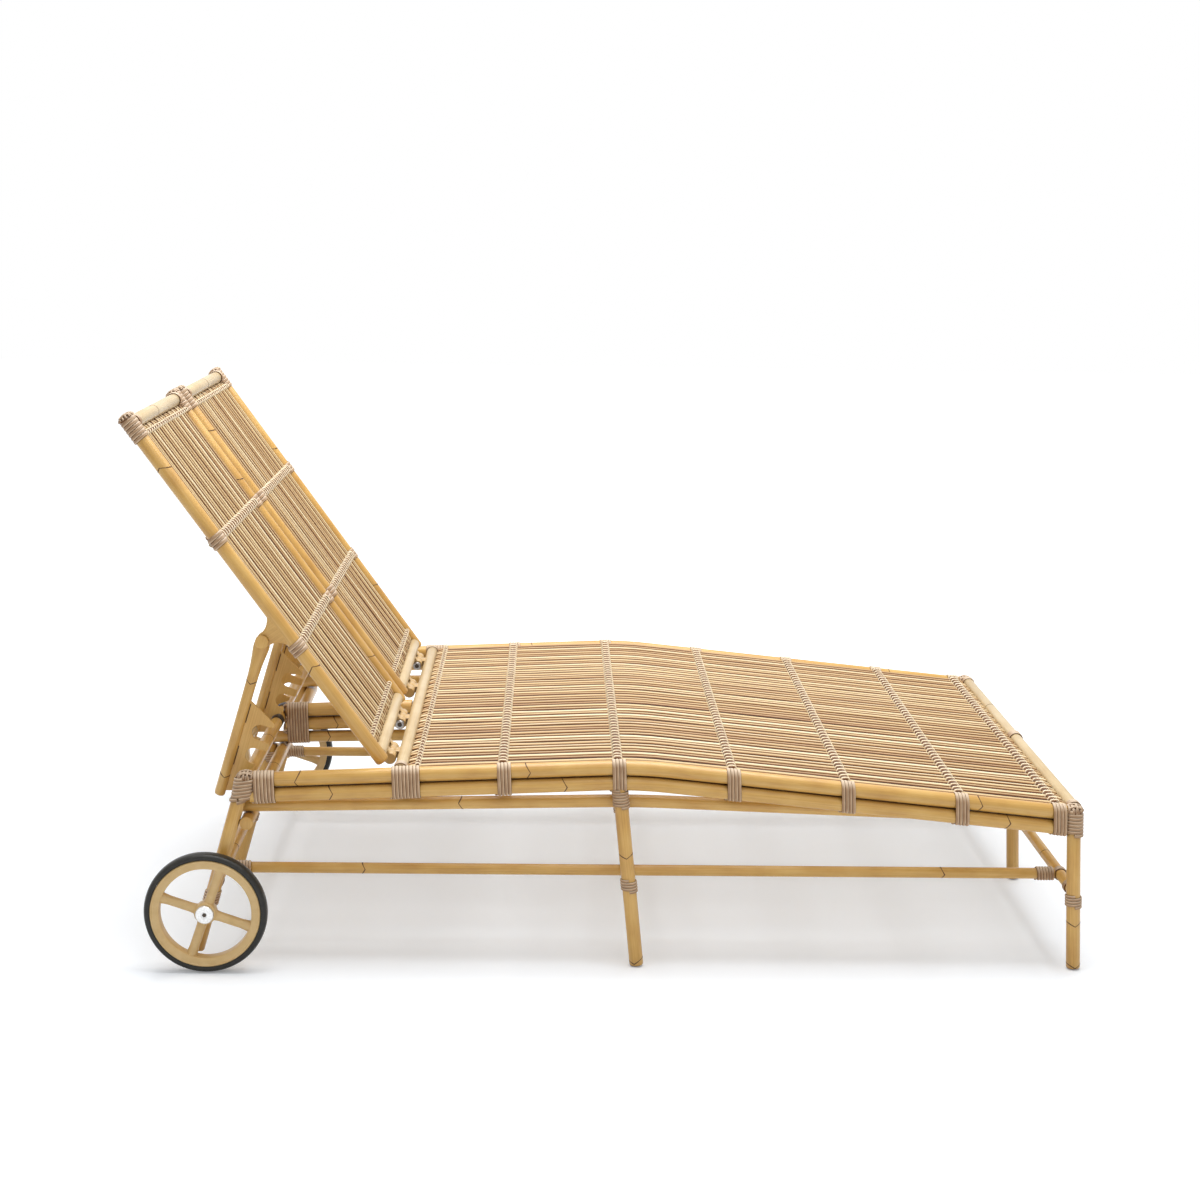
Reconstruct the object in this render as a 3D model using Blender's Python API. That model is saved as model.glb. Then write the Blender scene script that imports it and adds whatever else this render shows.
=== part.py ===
"""Double sun lounger: a bamboo-look tube frame, a deck of long rods, two tilting backrests
held by notched props, and two wheels under the head end.

Metres, +Z up, +X towards the foot end, +Y towards the left side. Heights are from the floor,
and lengths along X are from the knee, the highest point of the side rails.
"""
import math

import bmesh
import bpy
from mathutils import Matrix, Vector

# Fits
GAP = 0.0003
RUNNING_GAP = 0.0006

# Side rails, centre rail and inner rails
RAIL_SPACING = 1.100
RAIL_R = 0.014
KNEE_HEIGHT = 0.3823
KNEE_REACH = 0.060
REAR_SLOPE = math.tan(math.radians(2.5))
FRONT_SLOPE = math.tan(math.radians(5.7))
RAIL_REAR_X = -0.738
RAIL_FOOT_X = 0.832
INNER_RAIL_R = 0.012
INNER_RAIL_GAP = 0.002
INNER_RAIL_CLEARANCE = 0.0004
INNER_REAR_SLOPE = math.tan(math.radians(1.2))
INNER_FRONT_SLOPE = math.tan(math.radians(2.0))
INNER_RAIL_FOOT_X = 0.540
CENTRE_BOTTOM_FOOT_X = 0.220

# Legs and low stretchers
LEG_R = 0.013
REAR_LEG_TOP_X = -0.7306
REAR_LEG_TAIL = 0.088
MIDDLE_LEG_TOP_X = -0.0275
MIDDLE_FOOT_X = 0.0088
FRONT_LEG_TOP_X = 0.8178
FRONT_FOOT_X = 0.8302
STRETCHER_R = 0.0105
STRETCHER_HEIGHT = 0.150
SIDE_STRETCHER_INSET = 0.110
REAR_TUBE_R = 0.0125
REAR_TUBE_OVERHANG = 0.008

# Seat bars, slats and rods
BAR_R = 0.012
BAR_RISE = 0.006
HEAD_BAR_X = -0.432
FOOT_BAR_X = 0.820
SLAT_R = 0.009
SLAT_FIRST_X = -0.244
SLAT_PITCH = 0.2115
SLAT_COUNT = 5
ROD_PITCH = 0.0219
ROD_WIDTH = 0.0140
ROD_HEIGHT = 0.0083
ROD_CROWN = 0.0064
ROD_JOIN = 0.010

# Wheels and axles
WHEEL_R = 0.113
AXLE_X = -0.785
RIM_R = 0.1015
RIM_FACE = 0.0175
RIM_WIDTH = 0.028
TYRE_WIDTH = 0.030
TYRE_CREST = 0.011
TYRE_SHOULDER = 0.003
HUB_R = 0.020
SPOKE_R = 0.0085
SPOKE_TURN = math.radians(18.5)
AXLE_R = 0.006
AXLE_COLLAR_R = 0.010
AXLE_COLLAR = 0.018
AXLE_CAP_R = 0.017
AXLE_CAP = 0.006

# Backrests
RECLINE = math.radians(54)
BACK_LENGTH = 0.780
BACK_RAIL_R = 0.0132
BACK_SIDE_GAP = 0.006
BACK_CENTRE_GAP = 0.008
BACK_DECK_DROP = 0.0065
TOP_BAR_R = 0.013
RAIL_END = 0.012
BACK_SLAT_FIRST = 0.278
BACK_SLAT_PITCH = 0.244
BACK_SLAT_COUNT = 2

# Backrest hinges, lengths along the pin from its closed end
KNUCKLE_R = 0.0117
KNUCKLE_ARM = 0.026
KNUCKLE_ARM_DEPTH = 0.014
HINGE_INSET = 0.061
CLOSED_KNUCKLE = 0.030
SEAT_KNUCKLE = 0.034
OPEN_KNUCKLE = 0.020
KNUCKLE_GAP = 0.0005
BOLT_R = 0.0045
BOLT_BITE = 0.020
BOLT_HEAD_R = 0.0085
BOLT_HEAD = 0.009

# Props and the bar that they hook over
PROP_BAR_R = 0.0125
PROP_BAR_X = -0.720
PROP_BAR_DROP = 0.011
PIVOT_ALONG = 0.324
PIVOT_BEHIND = 0.046
PROP_RATIO = 2.35
STRUT_R = 0.010
STRUT_NECK_R = 0.0125
STRUT_NECK = 0.070
STRUT_LENGTH = 0.308
EYE_R = 0.0125
LUG_THICKNESS = 0.010
LUG_FOOT = 0.030
SPIGOT_R = 0.005
SPIGOT_CAP = 0.005
STRUT_BARREL = 0.023
PLATE_THICKNESS = 0.005
NOTCH_R = 0.0158
NOTCH_OFFSET = 0.041
NOTCH_PITCH = 0.046
NOTCH_COUNT = 3
NOTCH_MOUTH = 80
RELEASE_TURN = math.radians(3)
MOUTH_HALF = 0.0165
TOOTH_REACH = 0.063
TOP_TOOTH = 0.006
TOP_SLOPE = 0.036
LAST_TOOTH_REACH = 0.047
LIP_REACH = 0.006
LIP_DROP = 0.0205
LIP_RUN = 0.014
PROP_TUBE_R = 0.009
PROP_TUBE_END = 0.008

TUBE_SIDES = 16
WHEEL_SIDES = 40
ARC_STEPS = 8

# Worked out from the sizes above
HALF_WIDTH = RAIL_SPACING / 2
RAIL_STACK = 2 * RAIL_R + 2 * GAP
SLAT_DROP = RAIL_STACK - RAIL_R - GAP - SLAT_R
ROD_BASE = SLAT_R - SLAT_DROP + GAP
HINGE_X = HEAD_BAR_X - KNUCKLE_ARM
BACK_OUTER_Y = HALF_WIDTH - RAIL_R - BACK_SIDE_GAP - BACK_RAIL_R
BACK_INNER_Y = RAIL_R + BACK_CENTRE_GAP + BACK_RAIL_R
BACK_REACH = (BACK_LENGTH + RAIL_END) * math.cos(RECLINE) + BACK_RAIL_R * math.sin(RECLINE) - HINGE_X
KNEE_X = (BACK_REACH - FRONT_FOOT_X - LEG_R) / 2
SEAT_KNUCKLE_START = CLOSED_KNUCKLE + KNUCKLE_GAP
OPEN_KNUCKLE_START = SEAT_KNUCKLE_START + SEAT_KNUCKLE + KNUCKLE_GAP
BOLT_HEAD_START = OPEN_KNUCKLE_START + OPEN_KNUCKLE + GAP
HINGE_LENGTH = BOLT_HEAD_START + BOLT_HEAD
SIDES = {"right": -1, "left": 1}


def rail_height(x):
    """Height of the upper rail's centre line."""
    return bent_height(x, KNEE_HEIGHT, REAR_SLOPE, FRONT_SLOPE)


def inner_height(x):
    """Height of the inner rail's centre line, which starts just below the lower rail's rear end."""
    rear = rail_height(RAIL_REAR_X) - RAIL_STACK - RAIL_R - INNER_RAIL_R - INNER_RAIL_CLEARANCE
    return bent_height(x, rear - RAIL_REAR_X * INNER_REAR_SLOPE, INNER_REAR_SLOPE, INNER_FRONT_SLOPE)


def bent_height(x, peak, rear_slope, front_slope):
    """Height of a tube that climbs to the knee, rounds it and falls away."""
    if x <= -KNEE_REACH:
        return peak + x * rear_slope
    if x >= KNEE_REACH:
        return peak - x * front_slope
    run = x + KNEE_REACH
    bend = (rear_slope + front_slope) * run * run / (4 * KNEE_REACH)
    return peak - KNEE_REACH * rear_slope + rear_slope * run - bend


def bent_line(start, end, height, drop=0.0):
    """Points along a bent rail, close together where it rounds the knee."""
    knee = [-KNEE_REACH, -KNEE_REACH / 2, 0.0, KNEE_REACH / 2, KNEE_REACH]
    inside = [x for x in knee if start < x < end]
    return [(x, 0.0, height(x) - drop) for x in [start, *inside, end]]


def finish(name, colour, roughness, metallic=0.0):
    """A plain surface of one colour."""
    material = bpy.data.materials.new(name)
    material.use_nodes = True
    shader = material.node_tree.nodes["Principled BSDF"]
    shader.inputs["Base Color"].default_value = (*colour, 1.0)
    shader.inputs["Roughness"].default_value = roughness
    shader.inputs["Metallic"].default_value = metallic
    return material


def solid(bm):
    """A smooth-shaded mesh with its faces pointing out."""
    bmesh.ops.recalc_face_normals(bm, faces=bm.faces)
    mesh = bpy.data.meshes.new("solid")
    bm.to_mesh(mesh)
    bm.free()
    mesh.shade_smooth()
    mesh.set_sharp_from_angle(angle=math.radians(40))
    return mesh


def skin(bm, rings, closed=False):
    """Walls between rings of vertices, with the first and last ring filled or joined."""
    pairs = list(zip(rings, rings[1:]))
    if closed:
        pairs.append((rings[-1], rings[0]))
    for lower, upper in pairs:
        for i, corner in enumerate(lower):
            bm.faces.new((lower[i - 1], corner, upper[i], upper[i - 1]))
    if not closed:
        bm.faces.new(rings[0])
        bm.faces.new(rings[-1])


def tube(points, radii, level_ends=False):
    """A tube in a vertical plane along X, mitred at its bends, with square or level ends."""
    bm = bmesh.new()
    points = [Vector(point) for point in points]
    steps = [(b - a).normalized() for a, b in zip(points, points[1:])]
    across = Vector((0.0, 1.0, 0.0))
    rings = []
    for i, point in enumerate(points):
        along = steps[max(i - 1, 0)]
        cut = Vector((0.0, 0.0, 1.0)) if level_ends else along + steps[min(i, len(steps) - 1)]
        ring = []
        for side in range(TUBE_SIDES):
            angle = math.tau * side / TUBE_SIDES
            level = Vector((1.0, 0.0, 0.0)) if level_ends else along.cross(across)
            spoke = radii[i] * (math.cos(angle) * across + math.sin(angle) * level)
            ring.append(bm.verts.new(point + spoke - along * (spoke.dot(cut) / along.dot(cut))))
        rings.append(ring)
    skin(bm, rings)
    return solid(bm)


def turned(profile, x=0.0, z=0.0, closed=False, sides=TUBE_SIDES):
    """A shape turned about a line along Y from (radius, y) points; closed makes a ring."""
    bm = bmesh.new()
    rings = []
    for radius, y in profile:
        ring = []
        for side in range(sides):
            angle = math.tau * side / sides
            ring.append(bm.verts.new((x + radius * math.cos(angle), y, z + radius * math.sin(angle))))
        rings.append(ring)
    skin(bm, rings, closed)
    return solid(bm)


def plate(outline, y_low, y_high):
    """A flat outline in XZ given thickness along Y."""
    bm = bmesh.new()
    skin(bm, [[bm.verts.new((x, y, z)) for x, z in outline] for y in (y_low, y_high)])
    return solid(bm)


def rod_deck(line, y_low, y_high):
    """Rods side by side along a line of (x, z) points, open between and joined near both ends."""
    count = round((y_high - y_low) / ROD_PITCH)
    pitch = (y_high - y_low) / count
    base, crest = ROD_BASE, ROD_BASE + ROD_HEIGHT
    edge, middle = ROD_WIDTH / 2, ROD_BASE + ROD_HEIGHT / 2
    flat = ROD_CROWN / 2
    section = [(-edge, middle), (-flat, crest), (flat, crest), (edge, middle), (flat, base), (-flat, base)]
    left_edge, right_edge, right_foot, left_foot = 0, 3, 4, 5

    points = [Vector(point) for point in line]
    first, last = [end.lerp(beside, ROD_JOIN / (beside - end).length)
                   for end, beside in ((points[0], points[1]), (points[-1], points[-2]))]
    stations = [points[0], first, *points[1:-1], last, points[-1]]
    spans = range(len(stations) - 1)
    joined = (spans[0], spans[-1])

    bm = bmesh.new()
    neighbour = None
    for i in range(count):
        centre = y_low + (i + 0.5) * pitch
        rings = [[bm.verts.new((at.x, centre + y, at.y + rise)) for y, rise in section] for at in stations]
        bm.faces.new(rings[0])
        bm.faces.new(rings[-1])
        for span in spans:
            near, far = rings[span], rings[span + 1]
            for side in range(len(section)):
                meets_next = side == right_foot and i < count - 1
                meets_last = side == left_edge and i > 0
                if span not in joined or not (meets_next or meets_last):
                    bm.faces.new((near[side - 1], near[side], far[side], far[side - 1]))
        if neighbour:
            for span in joined:
                near, far = neighbour[span:span + 2], rings[span:span + 2]
                for mine, other in ((right_edge, left_edge), (right_foot, left_foot)):
                    bm.faces.new((near[0][mine], far[0][other], far[1][other], near[1][mine]))
                for left, right in zip(near, far):
                    bm.faces.new((left[right_edge], left[right_foot], right[left_foot], right[left_edge]))
        neighbour = rings
    return solid(bm)


def fuse(solids, cuts=()):
    """One closed mesh from solids that overlap, less the cuts."""
    base = bpy.data.objects.new("base", solids[0])
    bpy.context.collection.objects.link(base)
    work = [(mesh, "UNION") for mesh in solids[1:]] + [(mesh, "DIFFERENCE") for mesh in cuts]
    for mesh, operation in work:
        tool = bpy.data.objects.new("tool", mesh)
        bpy.context.collection.objects.link(tool)
        modifier = base.modifiers.new("joint", "BOOLEAN")
        modifier.operation = operation
        modifier.object = tool
        graph = bpy.context.evaluated_depsgraph_get()
        joined = bpy.data.meshes.new_from_object(base.evaluated_get(graph))
        base.modifiers.clear()
        base.data = joined
        bpy.data.objects.remove(tool)
    bpy.data.objects.remove(base)
    return joined


def piece(name, mesh, material, parent, location=(0.0, 0.0, 0.0)):
    """A named object with its finish, placed under a parent."""
    obj = bpy.data.objects.new(name, mesh)
    bpy.context.collection.objects.link(obj)
    mesh.materials.clear()
    mesh.materials.append(material)
    obj.parent = parent
    obj.location = location
    return obj


def pivot(name, parent, location, turn=0.0):
    """An empty on a joint's axis, turned about Y."""
    empty = bpy.data.objects.new(name, None)
    bpy.context.collection.objects.link(empty)
    empty.parent = parent
    empty.location = location
    empty.rotation_euler = (0.0, turn, 0.0)
    return empty


def leg_line(top_x, foot_x, foot_height=0.0):
    """Top and foot of a leg whose flat top meets the underside of the lower rail."""
    under = [rail_height(top_x + side * LEG_R) for side in (-1, 1)]
    return (top_x, min(under) - RAIL_STACK - RAIL_R - 2 * GAP), (foot_x, foot_height)


def leg_x(line, height):
    """Where a leg's centre line is at a height."""
    (top_x, top), (foot_x, foot) = line
    return top_x + (foot_x - top_x) * (top - height) / (top - foot)


def leg(line):
    """A slanted leg with a flat top and a flat sole."""
    (top_x, top), (foot_x, foot) = line
    return tube([(top_x, 0.0, top), (foot_x, 0.0, foot)], (LEG_R, LEG_R), level_ends=True)


def bar(radius, half_length):
    """A straight tube across the lounger."""
    return turned([(radius, -half_length), (radius, half_length)])


def hinge_starts(side):
    """Closed end of each hinge of one backrest along Y, and the way its pin runs."""
    return [(side * (BACK_OUTER_Y - HINGE_INSET), -side), (side * (BACK_INNER_Y + HINGE_INSET), side)]


def knuckle(start, way, low, high, arm_x):
    """A hinge knuckle between two lengths along its pin, with its arm to a bar at arm_x."""
    half = KNUCKLE_ARM_DEPTH / 2
    opening = math.asin(half / KNUCKLE_R)
    angles = [opening + (math.tau - 2 * opening) * i / TUBE_SIDES for i in range(TUBE_SIDES + 1)]
    barrel = [(KNUCKLE_R * math.cos(a), KNUCKLE_R * math.sin(a)) for a in angles]
    outline = [*barrel, (abs(arm_x), -half), (abs(arm_x), half)]
    facing = math.copysign(1.0, arm_x)
    return plate([(facing * x, z) for x, z in outline], start + way * low, start + way * high)


def pin_hole(start, way, low, high):
    """Bore for a hinge bolt between two lengths along its pin."""
    radius = BOLT_R + RUNNING_GAP / 2
    return turned([(radius, start + way * low), (radius, start + way * high)])


for old in list(bpy.data.objects):
    bpy.data.objects.remove(old)

bamboo = finish("bamboo_tube", (0.58, 0.36, 0.12), 0.35)
pale_bamboo = finish("pale_bamboo_tube", (0.80, 0.66, 0.40), 0.35)
cream_rod = finish("cream_rod", (0.68, 0.50, 0.28), 0.45)
rubber = finish("black_rubber", (0.02, 0.02, 0.018), 0.7)
bright_metal = finish("bright_metal", (0.75, 0.74, 0.72), 0.3, 1.0)

lounger = pivot("lounger", None, (KNEE_X, 0.0, 0.0))


# Side rails, two stacked tubes a side, with a thinner inner rail beside them
for name, side in SIDES.items():
    for level, drop in (("upper", 0.0), ("lower", RAIL_STACK)):
        line = bent_line(RAIL_REAR_X, RAIL_FOOT_X, rail_height, drop)
        rail = tube(line, [RAIL_R] * len(line))
        piece(f"{name}_{level}_rail", rail, bamboo, lounger, (0.0, side * HALF_WIDTH, 0.0))
    line = bent_line(RAIL_REAR_X, INNER_RAIL_FOOT_X, inner_height)
    inner_rail = tube(line, [INNER_RAIL_R] * len(line))
    inner_rail_y = HALF_WIDTH - RAIL_R - INNER_RAIL_R - INNER_RAIL_GAP
    piece(f"{name}_inner_rail", inner_rail, bamboo, lounger, (0.0, side * inner_rail_y, 0.0))

# Centre rail: two tubes from the prop bar, the upper one as far as the seat's head bar, and a
# bottom tube that rests on the rear cross tube
centre_rear_x = PROP_BAR_X + PROP_BAR_R + GAP
centre_upper = bent_line(centre_rear_x, HEAD_BAR_X - BAR_R - 2 * GAP, rail_height)
centre_lower = bent_line(centre_rear_x, RAIL_FOOT_X, rail_height, RAIL_STACK)
centre_bottom = bent_line(RAIL_REAR_X, CENTRE_BOTTOM_FOOT_X, inner_height)
piece("centre_upper_rail", tube(centre_upper, [RAIL_R] * len(centre_upper)), bamboo, lounger)
piece("centre_lower_rail", tube(centre_lower, [RAIL_R] * len(centre_lower)), bamboo, lounger)
piece("centre_bottom_rail", tube(centre_bottom, [INNER_RAIL_R] * len(centre_bottom)), bamboo, lounger)

# Legs; the rear pair passes the axles and stops short of the floor
rear_top = leg_line(REAR_LEG_TOP_X, AXLE_X)[0]
axle_point = (AXLE_X, WHEEL_R)
tail_height = WHEEL_R - REAR_LEG_TAIL
rear_leg = (rear_top, (leg_x((rear_top, axle_point), tail_height), tail_height))
middle_leg = leg_line(MIDDLE_LEG_TOP_X, MIDDLE_FOOT_X)
front_leg = leg_line(FRONT_LEG_TOP_X, FRONT_FOOT_X)
for name, side in SIDES.items():
    for place, line in (("rear", rear_leg), ("middle", middle_leg), ("front", front_leg)):
        piece(f"{name}_{place}_leg", leg(line), bamboo, lounger, (0.0, side * HALF_WIDTH, 0.0))

# Cross tubes at the head end: the prop bar between the rails, and a tube under the inner rails
prop_bar_height = rail_height(PROP_BAR_X) - PROP_BAR_DROP
rail_to_rail = HALF_WIDTH - RAIL_R - GAP
piece("prop_bar", bar(PROP_BAR_R, rail_to_rail), pale_bamboo, lounger, (PROP_BAR_X, 0.0, prop_bar_height))
rear_tube_height = inner_height(RAIL_REAR_X) - INNER_RAIL_R - REAR_TUBE_R - GAP
rear_tilt = math.atan2(rear_top[0] - AXLE_X, rear_top[1] - WHEEL_R)
rear_tube_x = leg_x(rear_leg, rear_tube_height) + LEG_R + (REAR_TUBE_R + GAP) / math.cos(rear_tilt)
rear_tube = bar(REAR_TUBE_R, HALF_WIDTH + REAR_TUBE_OVERHANG)
piece("rear_cross_tube", rear_tube, bamboo, lounger, (rear_tube_x, 0.0, rear_tube_height))

# Low stretchers: one across each pair of legs, welded to a centre leg under the centre rail, and one
# along each side
leg_to_leg = HALF_WIDTH - LEG_R - GAP
middle_height = STRETCHER_HEIGHT + 2 * STRETCHER_R + GAP
cross_stretchers = (("rear", rear_leg, STRETCHER_HEIGHT), ("middle", middle_leg, middle_height),
                    ("front", front_leg, STRETCHER_HEIGHT))
for place, line, height in cross_stretchers:
    across = turned([(STRETCHER_R, -leg_to_leg), (STRETCHER_R, leg_to_leg)], leg_x(line, height), height)
    (top_x, top), foot = line
    if top_x < CENTRE_BOTTOM_FOOT_X:
        top = min(inner_height(top_x + way * LEG_R) for way in (-1, 1)) - INNER_RAIL_R - 2 * GAP
    centre_leg = leg(((leg_x(line, top), top), foot))
    piece(f"{place}_stretcher", fuse([centre_leg, across]), bamboo, lounger)
stretcher_start = leg_x(rear_leg, STRETCHER_HEIGHT) + STRETCHER_R + GAP
stretcher_end = leg_x(front_leg, STRETCHER_HEIGHT) - STRETCHER_R - GAP
for name, side in SIDES.items():
    along = tube([(stretcher_start, 0.0, 0.0), (stretcher_end, 0.0, 0.0)], (STRETCHER_R, STRETCHER_R))
    at = (0.0, side * (HALF_WIDTH - SIDE_STRETCHER_INSET), STRETCHER_HEIGHT)
    piece(f"{name}_side_stretcher", along, bamboo, lounger, at)

# Seat bars; the head bar carries the fixed knuckles of the four backrest hinges
head_bar_height = rail_height(HEAD_BAR_X) + BAR_RISE
head_bar = [turned([(BAR_R, -rail_to_rail), (BAR_R, rail_to_rail)], KNUCKLE_ARM)]
head_holes = []
for side in SIDES.values():
    for start, way in hinge_starts(side):
        knuckle_end = SEAT_KNUCKLE_START + SEAT_KNUCKLE
        head_bar.append(knuckle(start, way, SEAT_KNUCKLE_START, knuckle_end, KNUCKLE_ARM))
        head_holes.append(pin_hole(start, way, 0.0, HINGE_LENGTH))
hinge_point = (HINGE_X, 0.0, head_bar_height)
piece("seat_head_bar", fuse(head_bar, head_holes), pale_bamboo, lounger, hinge_point)
foot_bar_height = rail_height(FOOT_BAR_X) + BAR_RISE
piece("seat_foot_bar", bar(BAR_R, rail_to_rail), pale_bamboo, lounger, (FOOT_BAR_X, 0.0, foot_bar_height))

# Seat slats on the centre rail, and the rods that lie on them
for i in range(SLAT_COUNT):
    x = SLAT_FIRST_X + i * SLAT_PITCH
    at = (x, 0.0, rail_height(x) - SLAT_DROP)
    piece(f"seat_slat_{i + 1}", bar(SLAT_R, rail_to_rail), pale_bamboo, lounger, at)
knee_slat_x = SLAT_FIRST_X + SLAT_PITCH
deck_bends = (-KNEE_REACH, knee_slat_x, KNEE_REACH)
deck_stations = (HEAD_BAR_X + BAR_R + GAP, *deck_bends, FOOT_BAR_X - BAR_R - GAP)
seat_rods = rod_deck([(x, rail_height(x)) for x in deck_stations], -rail_to_rail, rail_to_rail)
piece("seat_rods", seat_rods, cream_rod, lounger)

# Wheels: a spoked rim and a tyre turn on an axle fixed to the rear leg
hub_start = LEG_R + GAP + AXLE_COLLAR + GAP
hub_end = hub_start + RIM_WIDTH
wheel_middle = (hub_start + hub_end) / 2
for name, side in SIDES.items():
    axle_at = (AXLE_X, side * HALF_WIDTH, WHEEL_R)
    collar_end = hub_start - GAP
    cap_start = hub_end + GAP
    axle_profile = [(AXLE_COLLAR_R, LEG_R + GAP), (AXLE_COLLAR_R, collar_end), (AXLE_R, collar_end),
                    (AXLE_R, cap_start), (AXLE_CAP_R, cap_start), (AXLE_CAP_R, cap_start + AXLE_CAP)]
    axle = turned([(radius, side * y) for radius, y in axle_profile])
    piece(f"{name}_axle", axle, bright_metal, lounger, axle_at)

    hub = pivot(f"{name}_wheel_hub", lounger, axle_at)
    low, high = sorted((side * hub_start, side * hub_end))
    middle = side * wheel_middle
    rim_inner_r = RIM_R - RIM_FACE
    rim = [turned([(RIM_R, low), (RIM_R, high), (rim_inner_r, high), (rim_inner_r, low)],
                  closed=True, sides=WHEEL_SIDES),
           turned([(HUB_R, low), (HUB_R, high)])]
    for quarter in range(2):
        spoke = tube([(-RIM_R + RIM_FACE / 2, 0.0, 0.0), (RIM_R - RIM_FACE / 2, 0.0, 0.0)],
                     (SPOKE_R, SPOKE_R))
        turn = Matrix.Rotation(SPOKE_TURN + quarter * math.pi / 2, 4, "Y")
        spoke.transform(Matrix.Translation((0.0, middle, 0.0)) @ turn)
        rim.append(spoke)
    bore = turned([(AXLE_R + RUNNING_GAP, low - RIM_WIDTH), (AXLE_R + RUNNING_GAP, high + RIM_WIDTH)])
    piece(f"{name}_rim", fuse(rim, [bore]), pale_bamboo, hub)

    bead_r = RIM_R + GAP
    half_side = [(WHEEL_R, TYRE_CREST / 2), (WHEEL_R - TYRE_SHOULDER, TYRE_WIDTH / 2 - TYRE_SHOULDER),
                 (bead_r + TYRE_SHOULDER, TYRE_WIDTH / 2), (bead_r, TYRE_WIDTH / 2 - TYRE_SHOULDER)]
    tyre_profile = half_side + [(radius, -y) for radius, y in reversed(half_side)]
    tyre = turned([(radius, middle + y) for radius, y in tyre_profile], closed=True, sides=WHEEL_SIDES)
    piece(f"{name}_tyre", tyre, rubber, hub)


def bar_seen_from_prop(turn, tilt):
    """The prop bar in the XZ plane of a prop leaning by tilt, once its backrest is lowered by turn."""
    hinge = Vector((HINGE_X, head_bar_height))
    on_back = Vector((-PIVOT_ALONG, -PIVOT_BEHIND))
    axis = hinge + Matrix.Rotation(turn - RECLINE, 2) @ on_back
    offset = Vector((PROP_BAR_X, prop_bar_height)) - axis
    return Matrix.Rotation(tilt + (PROP_RATIO - 1) * turn, 2) @ offset


# The prop leans back until the bar lies beside it in its last notch
plumb = bar_seen_from_prop(0.0, 0.0)
prop_tilt = math.asin(NOTCH_OFFSET / plumb.length) - math.atan2(plumb.x, -plumb.y)


def arc(centre, start, end):
    """Points round a notch between two angles in degrees, turning left."""
    angles = [math.radians(start + (end - start) * i / ARC_STEPS) for i in range(ARC_STEPS + 1)]
    return [(centre.x + NOTCH_R * math.cos(a), centre.y + NOTCH_R * math.sin(a)) for a in angles]


def notch_plate():
    """Outline of the toothed plate; the last tooth leaves the bar's way out of its notch clear."""
    seat = bar_seen_from_prop(0.0, prop_tilt)
    way_out = (bar_seen_from_prop(RELEASE_TURN, prop_tilt) - seat).normalized()
    notches = [seat + Vector((0.0, (NOTCH_COUNT - 1 - i) * NOTCH_PITCH)) for i in range(NOTCH_COUNT)]
    top = notches[0].y + MOUTH_HALF
    outline = [(0.0, top + TOP_TOOTH + TOP_SLOPE), (TOOTH_REACH, top + TOP_TOOTH), (TOOTH_REACH, top)]
    for notch, below in zip(notches[:-2], notches[1:]):
        outline += arc(notch, NOTCH_MOUTH, 360 - NOTCH_MOUTH)
        outline += [(TOOTH_REACH, notch.y - MOUTH_HALF), (TOOTH_REACH, below.y + MOUTH_HALF)]
    last_wall = math.degrees(math.acos((LAST_TOOTH_REACH - notches[-2].x) / NOTCH_R))
    outline += arc(notches[-2], NOTCH_MOUTH, 360 - last_wall)
    over = seat + NOTCH_R * Vector((-way_out.y, way_out.x))
    tip = over + way_out * (LAST_TOOTH_REACH - over.x) / way_out.x
    outline.append((tip.x, tip.y))
    outline += arc(seat, math.degrees(math.atan2(way_out.x, -way_out.y)), 360 - NOTCH_MOUTH)
    outline += [(seat.x + LIP_REACH, seat.y - LIP_DROP), (0.0, seat.y - LIP_DROP - LIP_RUN)]
    return outline


def back_rail():
    """A backrest rail with the lug that carries a prop."""
    rail = tube([(-BACK_LENGTH - RAIL_END, 0.0, 0.0), (-RAIL_END, 0.0, 0.0)], (BACK_RAIL_R, BACK_RAIL_R))
    eye = [(-PIVOT_ALONG + EYE_R * math.cos(a), -PIVOT_BEHIND + EYE_R * math.sin(a))
           for a in (-math.pi * i / ARC_STEPS for i in range(ARC_STEPS + 1))]
    outline = [(-PIVOT_ALONG - LUG_FOOT, 0.0), (-PIVOT_ALONG + LUG_FOOT, 0.0), *eye]
    half = LUG_THICKNESS / 2
    hole_r = SPIGOT_R + RUNNING_GAP
    hole = turned([(hole_r, -LUG_THICKNESS), (hole_r, LUG_THICKNESS)], -PIVOT_ALONG, -PIVOT_BEHIND)
    return fuse([rail, plate(outline, -half, half)], [hole])


def strut(way):
    """A prop strut with its toothed plate and the capped spigot that turns in the lug."""
    middle = way * (LUG_THICKNESS / 2 + GAP + STRUT_BARREL / 2)
    shaft = tube([(0.0, 0.0, 0.0), (0.0, 0.0, -STRUT_NECK), (0.0, 0.0, -STRUT_LENGTH)],
                 (STRUT_NECK_R - 2 * GAP, STRUT_R, STRUT_R))
    shaft.transform(Matrix.Translation((0.0, middle, 0.0)))
    half = PLATE_THICKNESS / 2
    toothed = plate(notch_plate(), middle - half, middle + half)
    cap_y = way * (LUG_THICKNESS / 2 + GAP)
    pivot_profile = [(EYE_R, cap_y + way * STRUT_BARREL), (EYE_R, cap_y), (SPIGOT_R, cap_y),
                     (SPIGOT_R, -cap_y), (EYE_R, -cap_y), (EYE_R, -cap_y - way * SPIGOT_CAP)]
    return fuse([shaft, toothed, turned(pivot_profile)])


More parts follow.
